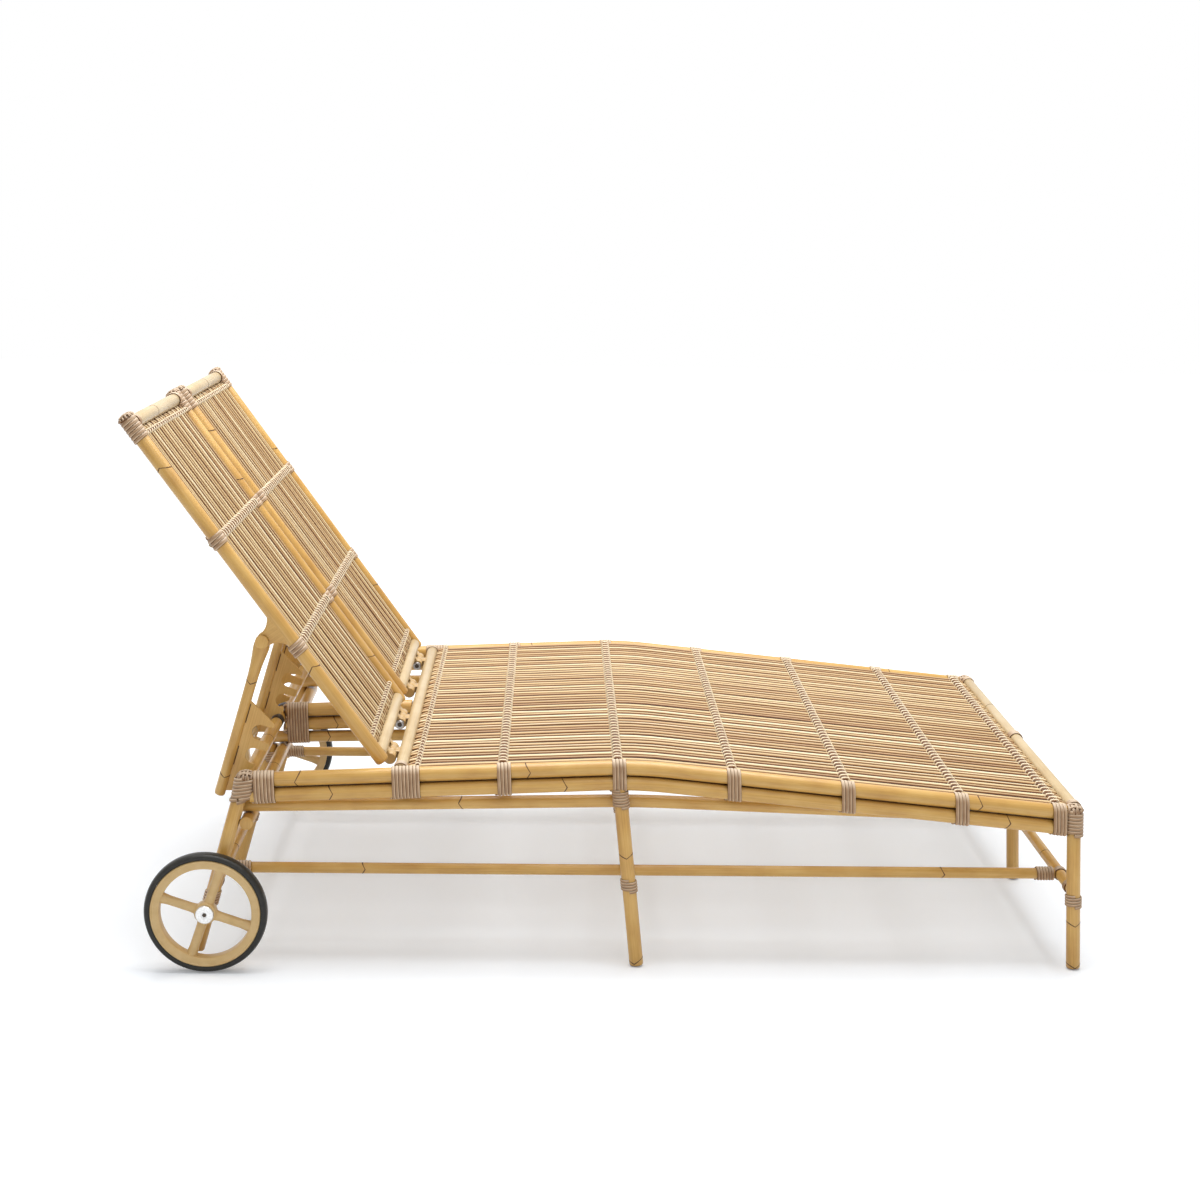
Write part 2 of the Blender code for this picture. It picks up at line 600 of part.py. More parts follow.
# Backrests, each on its own hinge axis, with a prop that turns on the lugs of its rails
for name, side in SIDES.items():
    back = pivot(f"{name}_back_pivot", lounger, hinge_point, RECLINE)
    outer_y = side * BACK_OUTER_Y
    inner_y = side * BACK_INNER_Y
    piece(f"{name}_back_outer_rail", back_rail(), bamboo, back, (0.0, outer_y, 0.0))
    piece(f"{name}_back_inner_rail", back_rail(), bamboo, back, (0.0, inner_y, 0.0))
    low, high = sorted((outer_y - side * (BACK_RAIL_R + GAP), inner_y + side * (BACK_RAIL_R + GAP)))

    top_bar = turned([(TOP_BAR_R, low), (TOP_BAR_R, high)])
    piece(f"{name}_back_top_bar", top_bar, pale_bamboo, back, (-BACK_LENGTH, 0.0, 0.0))
    bottom_bar = [turned([(BAR_R, low), (BAR_R, high)], -KNUCKLE_ARM)]
    bolt_holes = []
    for place, (start, way) in zip(("outer", "inner"), hinge_starts(side)):
        bottom_bar.append(knuckle(start, way, 0.0, CLOSED_KNUCKLE, -KNUCKLE_ARM))
        open_end = OPEN_KNUCKLE_START + OPEN_KNUCKLE
        bottom_bar.append(knuckle(start, way, OPEN_KNUCKLE_START, open_end, -KNUCKLE_ARM))
        bolt_tip = CLOSED_KNUCKLE - BOLT_BITE
        bolt_holes.append(pin_hole(start, way, bolt_tip - GAP, HINGE_LENGTH))
        bolt_profile = [(BOLT_R, bolt_tip), (BOLT_R, BOLT_HEAD_START), (BOLT_HEAD_R, BOLT_HEAD_START),
                        (BOLT_HEAD_R, HINGE_LENGTH)]
        bolt = turned([(radius, start + way * length) for radius, length in bolt_profile])
        piece(f"{name}_{place}_hinge_bolt", bolt, bright_metal, back)
    piece(f"{name}_back_bottom_bar", fuse(bottom_bar, bolt_holes), pale_bamboo, back)

    slat_z = -SLAT_DROP - BACK_DECK_DROP
    for i in range(BACK_SLAT_COUNT):
        slat = turned([(SLAT_R, low), (SLAT_R, high)])
        along = BACK_SLAT_FIRST + i * BACK_SLAT_PITCH
        piece(f"{name}_back_slat_{i + 1}", slat, pale_bamboo, back, (-along, 0.0, slat_z))
    rod_ends = (TOP_BAR_R + GAP - BACK_LENGTH, -KNUCKLE_ARM - BAR_R - GAP)
    rod_line = [(x, -BACK_DECK_DROP) for x in rod_ends]
    piece(f"{name}_back_rods", rod_deck(rod_line, low, high), cream_rod, back)

    prop = pivot(f"{name}_prop_pivot", back, (-PIVOT_ALONG, 0.0, -PIVOT_BEHIND), prop_tilt - RECLINE)
    piece(f"{name}_prop_outer_strut", strut(-side), bamboo, prop, (0.0, outer_y, 0.0))
    piece(f"{name}_prop_inner_strut", strut(side), bamboo, prop, (0.0, inner_y, 0.0))
    strut_side = LUG_THICKNESS / 2 + GAP + STRUT_BARREL / 2 + STRUT_R + GAP
    prop_tube_ends = (outer_y - side * strut_side, inner_y + side * strut_side)
    prop_tube = turned([(PROP_TUBE_R, y) for y in sorted(prop_tube_ends)])
    at = (0.0, 0.0, PROP_TUBE_END - STRUT_LENGTH + PROP_TUBE_R)
    piece(f"{name}_prop_cross_tube", prop_tube, pale_bamboo, prop, at)
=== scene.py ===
"""Looks of the double sun lounger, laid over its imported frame."""
import math

import bmesh
import bpy
from mathutils import Matrix, Vector


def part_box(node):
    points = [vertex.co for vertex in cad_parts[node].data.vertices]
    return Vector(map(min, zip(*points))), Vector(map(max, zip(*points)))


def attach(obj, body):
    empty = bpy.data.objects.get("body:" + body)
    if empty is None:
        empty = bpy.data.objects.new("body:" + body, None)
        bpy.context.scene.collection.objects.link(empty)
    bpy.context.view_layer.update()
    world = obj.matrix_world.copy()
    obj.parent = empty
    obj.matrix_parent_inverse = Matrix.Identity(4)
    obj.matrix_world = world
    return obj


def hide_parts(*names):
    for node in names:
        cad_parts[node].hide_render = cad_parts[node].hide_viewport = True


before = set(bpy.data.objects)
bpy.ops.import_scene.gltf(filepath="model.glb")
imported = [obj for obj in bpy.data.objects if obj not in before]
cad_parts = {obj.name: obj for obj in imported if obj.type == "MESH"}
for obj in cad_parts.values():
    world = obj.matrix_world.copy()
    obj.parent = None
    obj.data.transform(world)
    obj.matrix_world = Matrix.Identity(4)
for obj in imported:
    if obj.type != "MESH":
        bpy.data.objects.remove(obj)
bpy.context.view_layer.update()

# Side rails: pairs of satin-lacquered bamboo-look poles, one on the other, bent together at the
# knee. Each pole is made up of lengths, so thin brown chevrons show where two lengths meet.
SIDES = {"right": -1, "left": 1}
HALF_WIDTH = 0.55
KNEE_X = 0.045502
KNEE_REACH = 0.060
RAIL_R = 0.014
RAIL_STACK = 0.0286
RAIL_PEAK = 0.3823
RAIL_SLOPES = (2.5, 5.7)
RAIL_REAR_X = KNEE_X - 0.738
RAIL_FOOT_X = KNEE_X + 0.832
RAIL_ENDS = (RAIL_REAR_X + 0.030, RAIL_FOOT_X - 0.031)
RAIL_LINES = {"upper": (-0.0876, 0.5118, 1.3504), "lower": (0.1495, 0.5795, 1.4040)}
POLE_SIDES = 28
LINE_STEPS = 64
LINE_HALF, LINE_WAVER = 0.00075, 0.00025
LINE_SKIRT, LINE_SUNK, LINE_PROUD = 0.0005, 0.0003, 0.0002
STRIP_GIRTH = 0.02
SHARP_EDGE = math.radians(45)
WHITE = (1.0, 1.0, 1.0, 1.0)


def bent_height(x, peak, rear_degrees, front_degrees):
    """Height of a pole that climbs to the knee, rounds it and falls away."""
    run = x - KNEE_X
    rear_slope = math.tan(math.radians(rear_degrees))
    front_slope = math.tan(math.radians(front_degrees))
    if run <= -KNEE_REACH:
        return peak + run * rear_slope
    if run >= KNEE_REACH:
        return peak - run * front_slope
    part = run + KNEE_REACH
    fall = (rear_slope + front_slope) * part ** 2 / (4 * KNEE_REACH)
    return peak - KNEE_REACH * rear_slope + rear_slope * part - fall


def rail_height(x):
    """Height of the upper side rail's centre line."""
    return bent_height(x, RAIL_PEAK, *RAIL_SLOPES)


def bent_line(start, end, height, y, drop=0.0):
    """Points along a bent pole, close together round the knee."""
    knee = [KNEE_X + KNEE_REACH * step / 4 for step in range(-4, 5)]
    xs = [start, *(x for x in knee if start < x < end), end]
    return [Vector((x, y, height(x) - drop)) for x in xs]


def chance(*keys):
    """A repeatable number from 0 to 1 for a piece and a place on it."""
    value = math.sin(sum((i + 1) * 12.9898 * key for i, key in enumerate(keys)) + 4.1414) * 43758.5453
    return value - math.floor(value)


def circle(sides):
    """Cosine and sine at equal steps round a circle."""
    return [(math.cos(math.tau * i / sides), math.sin(math.tau * i / sides)) for i in range(sides)]


def across_of(along):
    """A direction square to another one, as near to across the lounger as it can be."""
    guide = Vector((0.0, 1.0, 0.0)) if abs(along.y) < 0.9 else Vector((1.0, 0.0, 0.0))
    return (guide - along * guide.dot(along)).normalized()


def frames(points):
    """Each point of a path with its direction and two directions across it, carried along without twist."""
    result = []
    for i, point in enumerate(points):
        along = (points[min(i + 1, len(points) - 1)] - points[max(i - 1, 0)]).normalized()
        across = (across - along * across.dot(along)).normalized() if i else across_of(along)
        result.append((point, along, across, along.cross(across)))
    return result


def join_rings(bm, rings, closed=False):
    """Faces from ring to ring, back to the first ring if closed and with flat ends if not."""
    for lower, upper in zip(rings, rings[1:] + rings[:1] if closed else rings[1:]):
        for i in range(len(lower)):
            bm.faces.new((lower[i - 1], lower[i], upper[i], upper[i - 1]))
    if not closed:
        bm.faces.new(rings[0])
        bm.faces.new(rings[-1])


def sweep(bm, points, radii, sides, seed=0.0, wides=None, thin=1.0, first_u=0.0, span_u=None):
    """A tube along a path with its girth and length, in metres, as texture coordinates.

    A flat strip is given the way its width lies at each point, and its thickness as a share of its width.
    """
    layer = bm.loops.layers.uv.verify()
    rings = []
    travelled = 0.0
    for i, (point, along, across, up) in enumerate(frames(points)):
        radius = radii[i] if isinstance(radii, (list, tuple)) else radii
        if wides:
            across = (wides[i] - along * wides[i].dot(along)).normalized()
            up = along.cross(across)
        if i:
            travelled += (point - points[i - 1]).length
        ring = [bm.verts.new(point + radius * (c * across + thin * s * up)) for c, s in circle(sides)]
        rings.append((ring, radius, travelled))
    for (lower, low_r, start), (upper, high_r, end) in zip(rings, rings[1:]):
        span = span_u or (STRIP_GIRTH if wides else math.tau * max(low_r, high_r))
        for side in range(sides):
            follow = (side + 1) % sides
            face = bm.faces.new((lower[side], lower[follow], upper[follow], upper[side]))
            corners = ((side, start), (side + 1, start), (side + 1, end), (side, end))
            for loop, (turn, length) in zip(face.loops, corners):
                loop[layer].uv = (first_u + span * turn / sides, seed + length)
    bm.faces.new(list(reversed(rings[0][0])))
    bm.faces.new(rings[-1][0])


def lay_grain(bm):
    """Texture coordinates, in metres, for the faces that have none, laid flat on the side each one faces."""
    layer = bm.loops.layers.uv.verify()
    bm.normal_update()
    for face in bm.faces:
        if face.loops[2][layer].uv.length_squared:
            continue
        facing = max(range(3), key=lambda axis: abs(face.normal[axis]))
        girth, length = ((1, 2), (0, 2), (1, 0))[facing]
        for loop in face.loops:
            loop[layer].uv = (loop.vert.co[girth], loop.vert.co[length])


def add_piece(name, bm, material, body="frame", place=None, node=None, slot=None):
    """A finished mesh as a named piece that rides on a body and may stand for a CAD node."""
    lay_grain(bm)
    if place is not None:
        bm.transform(place)
    bmesh.ops.recalc_face_normals(bm, faces=bm.faces)
    mesh = bpy.data.meshes.new(name)
    bm.to_mesh(mesh)
    bm.free()
    mesh.shade_smooth()
    mesh.set_sharp_from_angle(angle=SHARP_EDGE)
    mesh.materials.append(material)
    obj = bpy.data.objects.new(name, mesh)
    bpy.context.collection.objects.link(obj)
    bpy.context.view_layer.update()
    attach(obj, body)
    if node:
        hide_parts(node)


def node_adder(tree):
    """A function that adds a node to a material or a world, and sets or links what goes into it."""
    def add(kind, settings=None, **inputs):
        made = tree.nodes.new(kind)
        for key, value in (settings or {}).items():
            setattr(made, key, value)
        for key, value in inputs.items():
            target = made.inputs[int(key[1:])] if key[0] == "i" and key[1:].isdigit() else made.inputs[key]
            feed(tree, target, value)
        return made

    return add


def feed(tree, target, value):
    """Links a node's output to an input, or sets the input to a plain value."""
    if isinstance(value, bpy.types.NodeSocket):
        tree.links.new(value, target)
    else:
        target.default_value = value


def new_material(name, roughness, **sockets):
    """A material, a function that adds nodes to it and one that feeds its shader."""
    material = bpy.data.materials.new(name)
    material.use_nodes = True
    tree = material.node_tree

    def wire(**ends):
        for socket, value in ends.items():
            feed(tree, tree.nodes["Principled BSDF"].inputs[socket.replace("_", " ")], value)

    wire(Roughness=roughness, **sockets)
    return material, node_adder(tree), wire


def srgb(*values):
    """A colour picked as 0 to 255 screen values, as linear light."""
    return tuple(((v / 255 + 0.055) / 1.055) ** 2.4 if v > 10 else v / 255 / 12.92 for v in values) + (1.0,)


def ramp(add, value, *stops):
    """A colour for each level of a value."""
    made = add("ShaderNodeValToRGB", Fac=value)
    elements = made.color_ramp.elements
    while len(elements) < len(stops):
        elements.new(0.5)
    for element, (position, colour) in zip(elements, stops):
        element.position = position
        element.color = colour
    return made.outputs["Color"]


def noise(add, place, scale=1.0, detail=2.0, roughness=0.5, stretch=None):
    """Soft noise at a place, with its own scale each way where stretch gives it."""
    inputs = {"Scale": scale, "Detail": detail, "Roughness": roughness}
    if stretch:
        place = add("ShaderNodeMapping", Vector=place, Scale=(*stretch, 1.0)).outputs["Vector"]
    if place is not None:
        inputs["Vector"] = place
    return add("ShaderNodeTexNoise", **inputs).outputs["Fac"]


def maths(add, operation, *values):
    """The result of one sum."""
    inputs = {f"i{i}": value for i, value in enumerate(values)}
    return add("ShaderNodeMath", {"operation": operation}, **inputs).outputs[0]


def weighed(add, first, first_share, second, second_share):
    """Two values added, each with its share."""
    return maths(add, "MULTIPLY_ADD", first, first_share, maths(add, "MULTIPLY", second, second_share))


def rescale(add, value, low, high, new_low, new_high, **settings):
    """A value moved from one range to another."""
    return add("ShaderNodeMapRange", settings, i0=value, i1=low, i2=high, i3=new_low, i4=new_high).outputs[0]


def mix(add, share, first, second, blend="MIX"):
    """Two colours mixed."""
    return add("ShaderNodeMix", {"data_type": "RGBA", "blend_type": blend}, i0=share, i6=first,
               i7=second).outputs[2]


def relief(add, height, strength, distance):
    """The surface tilted by relief too fine to model."""
    return add("ShaderNodeBump", Strength=strength, Distance=distance, Height=height).outputs["Normal"]


def paint_hollow_shade(add, colour, reach, shade):
    """The colour with painted shade: darker in the hollows and crevices, where shade falls."""
    open_share = add("ShaderNodeAmbientOcclusion", {"samples": 4}, Distance=reach).outputs["AO"]
    return mix(add, 1.0, colour, ramp(add, open_share, (0.12, shade), (0.62, WHITE)), "MULTIPLY")


def bamboo(name, dark, middle, light):
    """Lacquered bamboo: fine streaks along the pole, broad mottling, a few darker flecks and painted shade in
    the hollows.
    """
    material, add, wire = new_material(name, 0.36, Coat_Weight=0.18, Coat_Roughness=0.22)
    uv = add("ShaderNodeUVMap").outputs["UV"]
    streaks = noise(add, uv, detail=5.0, roughness=0.62, stretch=(420.0, 7.0))
    broad = noise(add, uv, detail=3.0, stretch=(26.0, 11.0))
    tone = ramp(add, weighed(add, streaks, 0.45, broad, 0.55), (0.33, dark), (0.5, middle), (0.66, light))
    flecks = noise(add, uv, detail=4.0, roughness=0.7, stretch=(90.0, 34.0))
    spots = ramp(add, flecks, (0.68, (0.0, 0.0, 0.0, 1.0)), (0.8, (0.5, 0.5, 0.5, 1.0)))
    flecks_and_flank_shade = mix(add, spots, tone, srgb(150, 104, 48))
    wire(Base_Color=paint_hollow_shade(add, flecks_and_flank_shade, 0.010, srgb(92, 58, 20)),
         Roughness=rescale(add, streaks, 0.3, 0.7, 0.30, 0.44), Normal=relief(add, streaks, 0.12, 0.0004))
    return material


def mottled(name, roughness, grain, stops, placed=True, rough_to=None, bump=None, bump_grain=None, **sockets):
    """A mottled finish; each grain is the scale, detail and roughness of its noise."""
    material, add, wire = new_material(name, roughness, **sockets)
    place = add("ShaderNodeTexCoord").outputs["Object"] if placed else None
    mottles = noise(add, place, *grain)
    wire(Base_Color=ramp(add, mottles, *stops))
    if rough_to:
        wire(Roughness=rescale(add, mottles, 0.3, 0.7, *rough_to))
    if bump:
        wire(Normal=relief(add, noise(add, place, *bump_grain) if bump_grain else mottles, *bump))
    return material


def pole(name, node, points, radius, material, lines=(), body="frame", place=None, rounding=0.0016):
    """A bamboo pole with eased ends, its texture started at a place of its own, and its meeting lines."""
    bm = bmesh.new()
    seed = 3.0 * chance(sum(map(ord, name)) * 0.37)
    first = (points[1] - points[0]).normalized()
    last = (points[-1] - points[-2]).normalized()
    eased = rounding * 0.3
    path = [points[0], points[0] + first * eased, points[0] + first * rounding, *points[1:-1],
            points[-1] - last * rounding, points[-1] - last * eased, points[-1]]
    ends = [radius - rounding, radius - eased]
    sweep(bm, path, ends + [radius] * (len(path) - 4) + ends[::-1], POLE_SIDES, seed)
    slot = "pale_bamboo_tube" if material == pale else "bamboo_tube"
    add_piece(name, bm, material, body, place, node, slot)
    if lines:
        rings = bmesh.new()
        for i, length in enumerate(lines):
            meeting_line(rings, points, length, radius, seed + i)
        add_piece(name + "_joins", rings, line_brown, body, place)


def meeting_line(bm, points, length, radius, seed):
    """A thin brown chevron round a pole at a length along it, pointing back where the length is negative."""
    left = abs(length)
    for start, end in zip(points, points[1:]):
        span = (end - start).length
        if left <= span:
            break
        left -= span
    along = (end - start).normalized()
    across = across_of(along)
    up = along.cross(across)
    centre = start + along * left
    depth = math.copysign(0.58 * radius, length)
    tip = 0.5 * (chance(seed, 8.3) - 0.65)
    rings = []
    for i, (c, s) in enumerate(circle(LINE_STEPS)):
        slide = depth * (0.5 - abs(s - tip))
        half = LINE_HALF + LINE_WAVER * math.sin(3 * math.tau * i / LINE_STEPS + seed)
        section = ((-half - LINE_SKIRT, -LINE_SUNK), (-half, LINE_PROUD), (half, LINE_PROUD),
                   (half + LINE_SKIRT, -LINE_SUNK))
        rings.append([bm.verts.new(centre + along * (slide + shift) + (c * across + s * up) * (radius + rise))
                      for shift, rise in section])
    join_rings(bm, rings, closed=True)


honey = bamboo("honey_bamboo", srgb(190, 140, 66), srgb(210, 163, 84), srgb(222, 180, 104))
pale = bamboo("pale_bamboo", srgb(190, 162, 116), srgb(202, 177, 133), srgb(212, 191, 151))
line_brown = mottled("join_line", 0.6, (240.0,), ((0.3, srgb(66, 40, 16)), (0.7, srgb(108, 72, 32))), False)
for name, side in SIDES.items():
    for level, drop in (("upper", 0.0), ("lower", RAIL_STACK)):
        line = bent_line(*RAIL_ENDS, rail_height, side * HALF_WIDTH, drop)
        pole(f"{name}_{level}_side_pole", f"{name}_{level}_rail", line, RAIL_R, honey, RAIL_LINES[level])

# Inner rails and the centre rail: thinner poles beside and under the side rails, and a stack of
# three poles down the middle that carries the deck.
INNER_R = 0.012
INNER_Y = 0.522
INNER_FOOT_X = KNEE_X + 0.540
CENTRE_REAR_X = KNEE_X - 0.7072
INNER_PEAK = 0.31055
INNER_SLOPES = (1.2, 2.0)


def inner_height(x):
    """Height of the inner rails' centre line."""
    return bent_height(x, INNER_PEAK, *INNER_SLOPES)


for name, side in SIDES.items():
    line = bent_line(RAIL_REAR_X, INNER_FOOT_X, inner_height, side * INNER_Y)
    pole(f"{name}_inner_pole", f"{name}_inner_rail", line, INNER_R, honey, (-0.416,))
CENTRE_POLES = (("upper", CENTRE_REAR_X, KNEE_X - 0.4446, rail_height, 0.0, RAIL_R, (0.15,)),
                ("lower", CENTRE_REAR_X, RAIL_FOOT_X, rail_height, RAIL_STACK, RAIL_R, (0.105, 0.61, 1.2)),
                ("bottom", RAIL_REAR_X, KNEE_X + 0.220, inner_height, 0.0, INNER_R, (0.12, -0.52)))
for level, start, end, height, drop, radius, lines in CENTRE_POLES:
    line = bent_line(start, end, height, 0.0, drop)
    pole(f"centre_{level}_pole", f"centre_{level}_rail", line, radius, honey, lines)

# Legs: poles that run up into the bindings under the side rails and up to the centre rail, the rear
# ones cut short above the floor. Their ends are well rounded.
LEG_R = 0.013
LEG_ROUNDING = 0.004
LEG_IN_BINDING = 0.012
LEG_GAP = 0.0012
LEGS = {"rear": ((KNEE_X - 0.7306, 0.3068), (KNEE_X - 0.8097, 0.0250), (0.127,)),
        "middle": ((KNEE_X - 0.0275, 0.3376), (KNEE_X + 0.0088, 0.0), (0.137, 0.342)),
        "front": ((KNEE_X + 0.8178, 0.2570), (KNEE_X + 0.8302, 0.0), (0.181, 0.2625))}
CENTRE_LEG_TOPS = {place: inner_height(LEGS[place][0][0]) - INNER_R - LEG_GAP for place in ("rear", "middle")}
CENTRE_LEG_TOPS["front"] = LEGS["front"][0][1]


def leg_x(place, height):
    """Where a leg's middle line is at a height."""
    (top_x, top_z), (foot_x, foot_z), lines = LEGS[place]
    return top_x + (foot_x - top_x) * (top_z - height) / (top_z - foot_z)


for name, side in SIDES.items():
    for place, (top, foot, lines) in LEGS.items():
        ends = [Vector((leg_x(place, z), side * HALF_WIDTH, z)) for z in (top[1] + LEG_IN_BINDING, foot[1])]
        pole(f"{name}_{place}_leg_pole", f"{name}_{place}_leg", ends, LEG_R, honey, lines,
             rounding=LEG_ROUNDING)
for place, top in CENTRE_LEG_TOPS.items():
    ends = [Vector((leg_x(place, z), 0.0, z)) for z in (top, LEGS[place][1][1])]
    pole(f"centre_{place}_leg_pole", None, ends, LEG_R, honey, (0.07,), rounding=LEG_ROUNDING)

# Cross poles at the head end and the low stretchers between the legs, all butted and bound. Those
# across are welded to the centre legs, one solid with them in the CAD.
DECK_HALF = 0.5357
CROSS_R = 0.0125
REAR_CROSS_HALF = 0.558
STRETCHER_R = 0.0105
STRETCHER_HALF = 0.5367
STRETCHER_HEIGHTS = {"rear": 0.150, "middle": 0.1713, "front": 0.150}
SIDE_STRETCHER_Y, SIDE_STRETCHER_Z = 0.44, 0.150


def cross_pole(name, node, x, z, radius, half, material, lines=()):
    """A straight pole across the lounger."""
    pole(name, node, [Vector((x, -half, z)), Vector((x, half, z))], radius, material, lines)


def middle_of(node):
    """Middle of a CAD node's box along X and Z."""
    low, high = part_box(node)
    return (low[0] + high[0]) / 2, (low[2] + high[2]) / 2


bar_x, bar_z = middle_of("prop_bar")
cross_pole("prop_bar_pole", "prop_bar", bar_x, bar_z, CROSS_R, DECK_HALF, honey, (0.33, 0.72))
cross_pole("rear_cross_pole", "rear_cross_tube", *middle_of("rear_cross_tube"), CROSS_R, REAR_CROSS_HALF, honey,
           (0.4, 0.8))
for place, z in STRETCHER_HEIGHTS.items():
    cross_pole(f"{place}_stretcher_pole", f"{place}_stretcher", leg_x(place, z), z, STRETCHER_R, STRETCHER_HALF,
               honey, (0.22, 0.86))
for name, side in SIDES.items():
    low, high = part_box(f"{name}_side_stretcher")
    ends = [Vector((x, side * SIDE_STRETCHER_Y, SIDE_STRETCHER_Z)) for x in (low[0], high[0])]
    pole(f"{name}_side_stretcher_pole", f"{name}_side_stretcher", ends, STRETCHER_R, honey, (0.255, 1.36))

# Seat bars and slats: pale poles across the deck. Four cast hinge knuckles are welded to the
# head bar, and the slats lie hidden under the rods.
BAR_R = 0.012
SLAT_R = 0.009
HINGE = Vector((-0.412498, 0.0, 0.369438))
HEAD_X = HINGE.x + 0.026
foot_x, foot_z = middle_of("seat_foot_bar")
cross_pole("seat_head_pole", "seat_head_bar", HEAD_X, HINGE.z, BAR_R, DECK_HALF, pale)
cross_pole("seat_foot_pole", "seat_foot_bar", foot_x, foot_z, BAR_R, DECK_HALF, pale, (0.80,))
SLATS = [middle_of(f"seat_slat_{i}") for i in range(1, 6)]
for i, (slat_x, slat_z) in enumerate(SLATS, 1):
    cross_pole(f"seat_slat_pole_{i}", f"seat_slat_{i}", slat_x, slat_z, SLAT_R, DECK_HALF, pale)

# Seat rods: flattened cane-like rods that lie side by side on the slats and wander a little between
# the cord lines. Each has its own tone, and its ends dive beside the bars.
ROD_HALF_WIDTH = 0.0070
ROD_HALF_HEIGHT = 0.0042
ROD_RISE = 0.0081
ROD_COUNT = 49
ROD_SIDES = 12
ROD_BITE = 0.0005
SEAT_UNEVEN = 0.0008
ROD_BENDS = ((0.0, 0.0052, 0.0032), (0.0030, 0.0026, 0.0030), (0.0072, 0.0009, 0.0022))
ROD_STRAIGHT = 0.013
ROD_STEP = 0.035
NUMBER_EDGE = 0.05
CANE_TONES = ((0.14, (186, 147, 104)), (0.30, (212, 180, 131)), (0.48, (231, 206, 158)),
              (0.80, (247, 229, 190)))
LINES_X = [HEAD_X + 0.031] + [x for x, z in SLATS] + [foot_x - 0.0375]


def cane(name, shade_tint=WHITE):
    """Cane with a tone for each numbered rod, drifting along it, fine grain, painted shade on each rod's sides
    and painted shade in the hollows.
    """
    material, add, wire = new_material(name, 0.5, Specular_IOR_Level=0.32)
    uv = add("ShaderNodeUVMap").outputs["UV"]
    parts = add("ShaderNodeSeparateXYZ", Vector=uv).outputs
    number = maths(add, "FLOOR", parts["X"])
    own = add("ShaderNodeTexWhiteNoise", {"noise_dimensions": "1D"}, W=number).outputs["Value"]
    along = add("ShaderNodeCombineXYZ", X=number, Y=maths(add, "MULTIPLY", parts["Y"], 3.2)).outputs["Vector"]
    stops = [(position, [level * share for level, share in zip(srgb(*colour), shade_tint)])
             for position, colour in CANE_TONES]
    tone = ramp(add, weighed(add, own, 0.62, noise(add, along), 0.38), *stops)
    grain = noise(add, uv, detail=5.0, roughness=0.6, stretch=(16.0, 9.0))
    grained = mix(add, 1.0, tone, rescale(add, grain, 0.25, 0.75, 0.80, 1.08), "MULTIPLY")
    # Painted shade: each rod is darker on its two sides, where its neighbours shade it, and lighter at its top
    # and bottom.
    angle = rescale(add, maths(add, "FRACT", parts["X"]), NUMBER_EDGE, 1 - NUMBER_EDGE, 0.0, math.tau)
    painted_flank_shade = ramp(add, maths(add, "ABSOLUTE", maths(add, "SINE", angle)), (0.28, srgb(88, 54, 20)),
                 (0.64, srgb(166, 124, 74)), (0.94, WHITE))
    flecks_and_flank_shade = mix(add, 1.0, grained, painted_flank_shade, "MULTIPLY")
    wire(Base_Color=paint_hollow_shade(add, flecks_and_flank_shade, 0.008, srgb(122, 80, 38)), Normal=relief(add, grain, 0.2, 0.0003))
    return material


def rod_field(name, node, body, material, start, end, lines, low, high, count, height, seed, uneven,
              place=None):
    """All the rods of one deck, from bar to bar along X, held at the cord lines and paired at the bars.

    Each rod's texture coordinates carry its number.
    """
    bm = bmesh.new()
    pitch = (high - low) / count
    stations = [start + ROD_STRAIGHT, *lines, end - ROD_STRAIGHT]
    for number in range(count):
        middle = low + (number + 0.5) * pitch
        if 0 < number < count - 1:
            middle += uneven * (2 * chance(number, 13.0, seed) - 1)
        paired = 1 if number % 2 == 0 else -1
        if number == count - 1 and count % 2:
            paired = 0
        tall = 0.0005 * (chance(number, 11.0, seed) - 0.5)
        points = [Vector((start + run, middle + paired * shift, height(start) - drop))
                  for run, drop, shift in ROD_BENDS]
        for left, right in zip(stations, stations[1:]):
            steps = max(2, round((right - left) / ROD_STEP))
            share = min(1.0, (right - left) / 0.2)
            for step in range(steps):
                x = left + (right - left) * step / steps
                free = math.sin(math.pi * step / steps)
                bow = 0.0030 * (chance(number, left, 3.0, seed) - 0.5) * share
                sway = bow * free + 0.0008 * (chance(number, left, 5.0 + step, seed) - 0.5) * free
                lift = tall + 0.0009 * (chance(number, left, 7.0, seed) - 0.5) * free * share
                points.append(Vector((x, middle + sway, height(x) + lift)))
        points.append(Vector((stations[-1], middle, height(stations[-1]) + tall)))
        points += [Vector((end - run, middle + paired * shift, height(end) - drop))
                   for run, drop, shift in reversed(ROD_BENDS)]
        sweep(bm, points, ROD_HALF_WIDTH, ROD_SIDES, thin=ROD_HALF_HEIGHT / ROD_HALF_WIDTH,
              first_u=number + int(1000 * seed) + NUMBER_EDGE, span_u=1 - 2 * NUMBER_EDGE)
    add_piece(name, bm, material, body, place, node, "cream_rod")


def deck_height(x):
    """Height of the middle of the seat rods."""
    return rail_height(x) + ROD_RISE


rod_field("seat_cane_rods", "seat_rods", "frame", cane("cane_rod"), HEAD_X + BAR_R - ROD_BITE,
          foot_x - BAR_R + ROD_BITE, LINES_X, -DECK_HALF, DECK_HALF, ROD_COUNT, deck_height, 0.1, SEAT_UNEVEN)

# Cord lines over the seat: a core cord lies across the rods above each slat, and a thinner cord is
# wound round both, one hoop in each gap between two rods. Near the bars there is no slat under them.
CORD_R = 0.0024
TAPE_THICK = 0.0015
LOOSE_R = 0.003
HOOP_POINTS = 32
CORE_HALF_THICK = 0.0016
SLAT_DROP = 0.0053


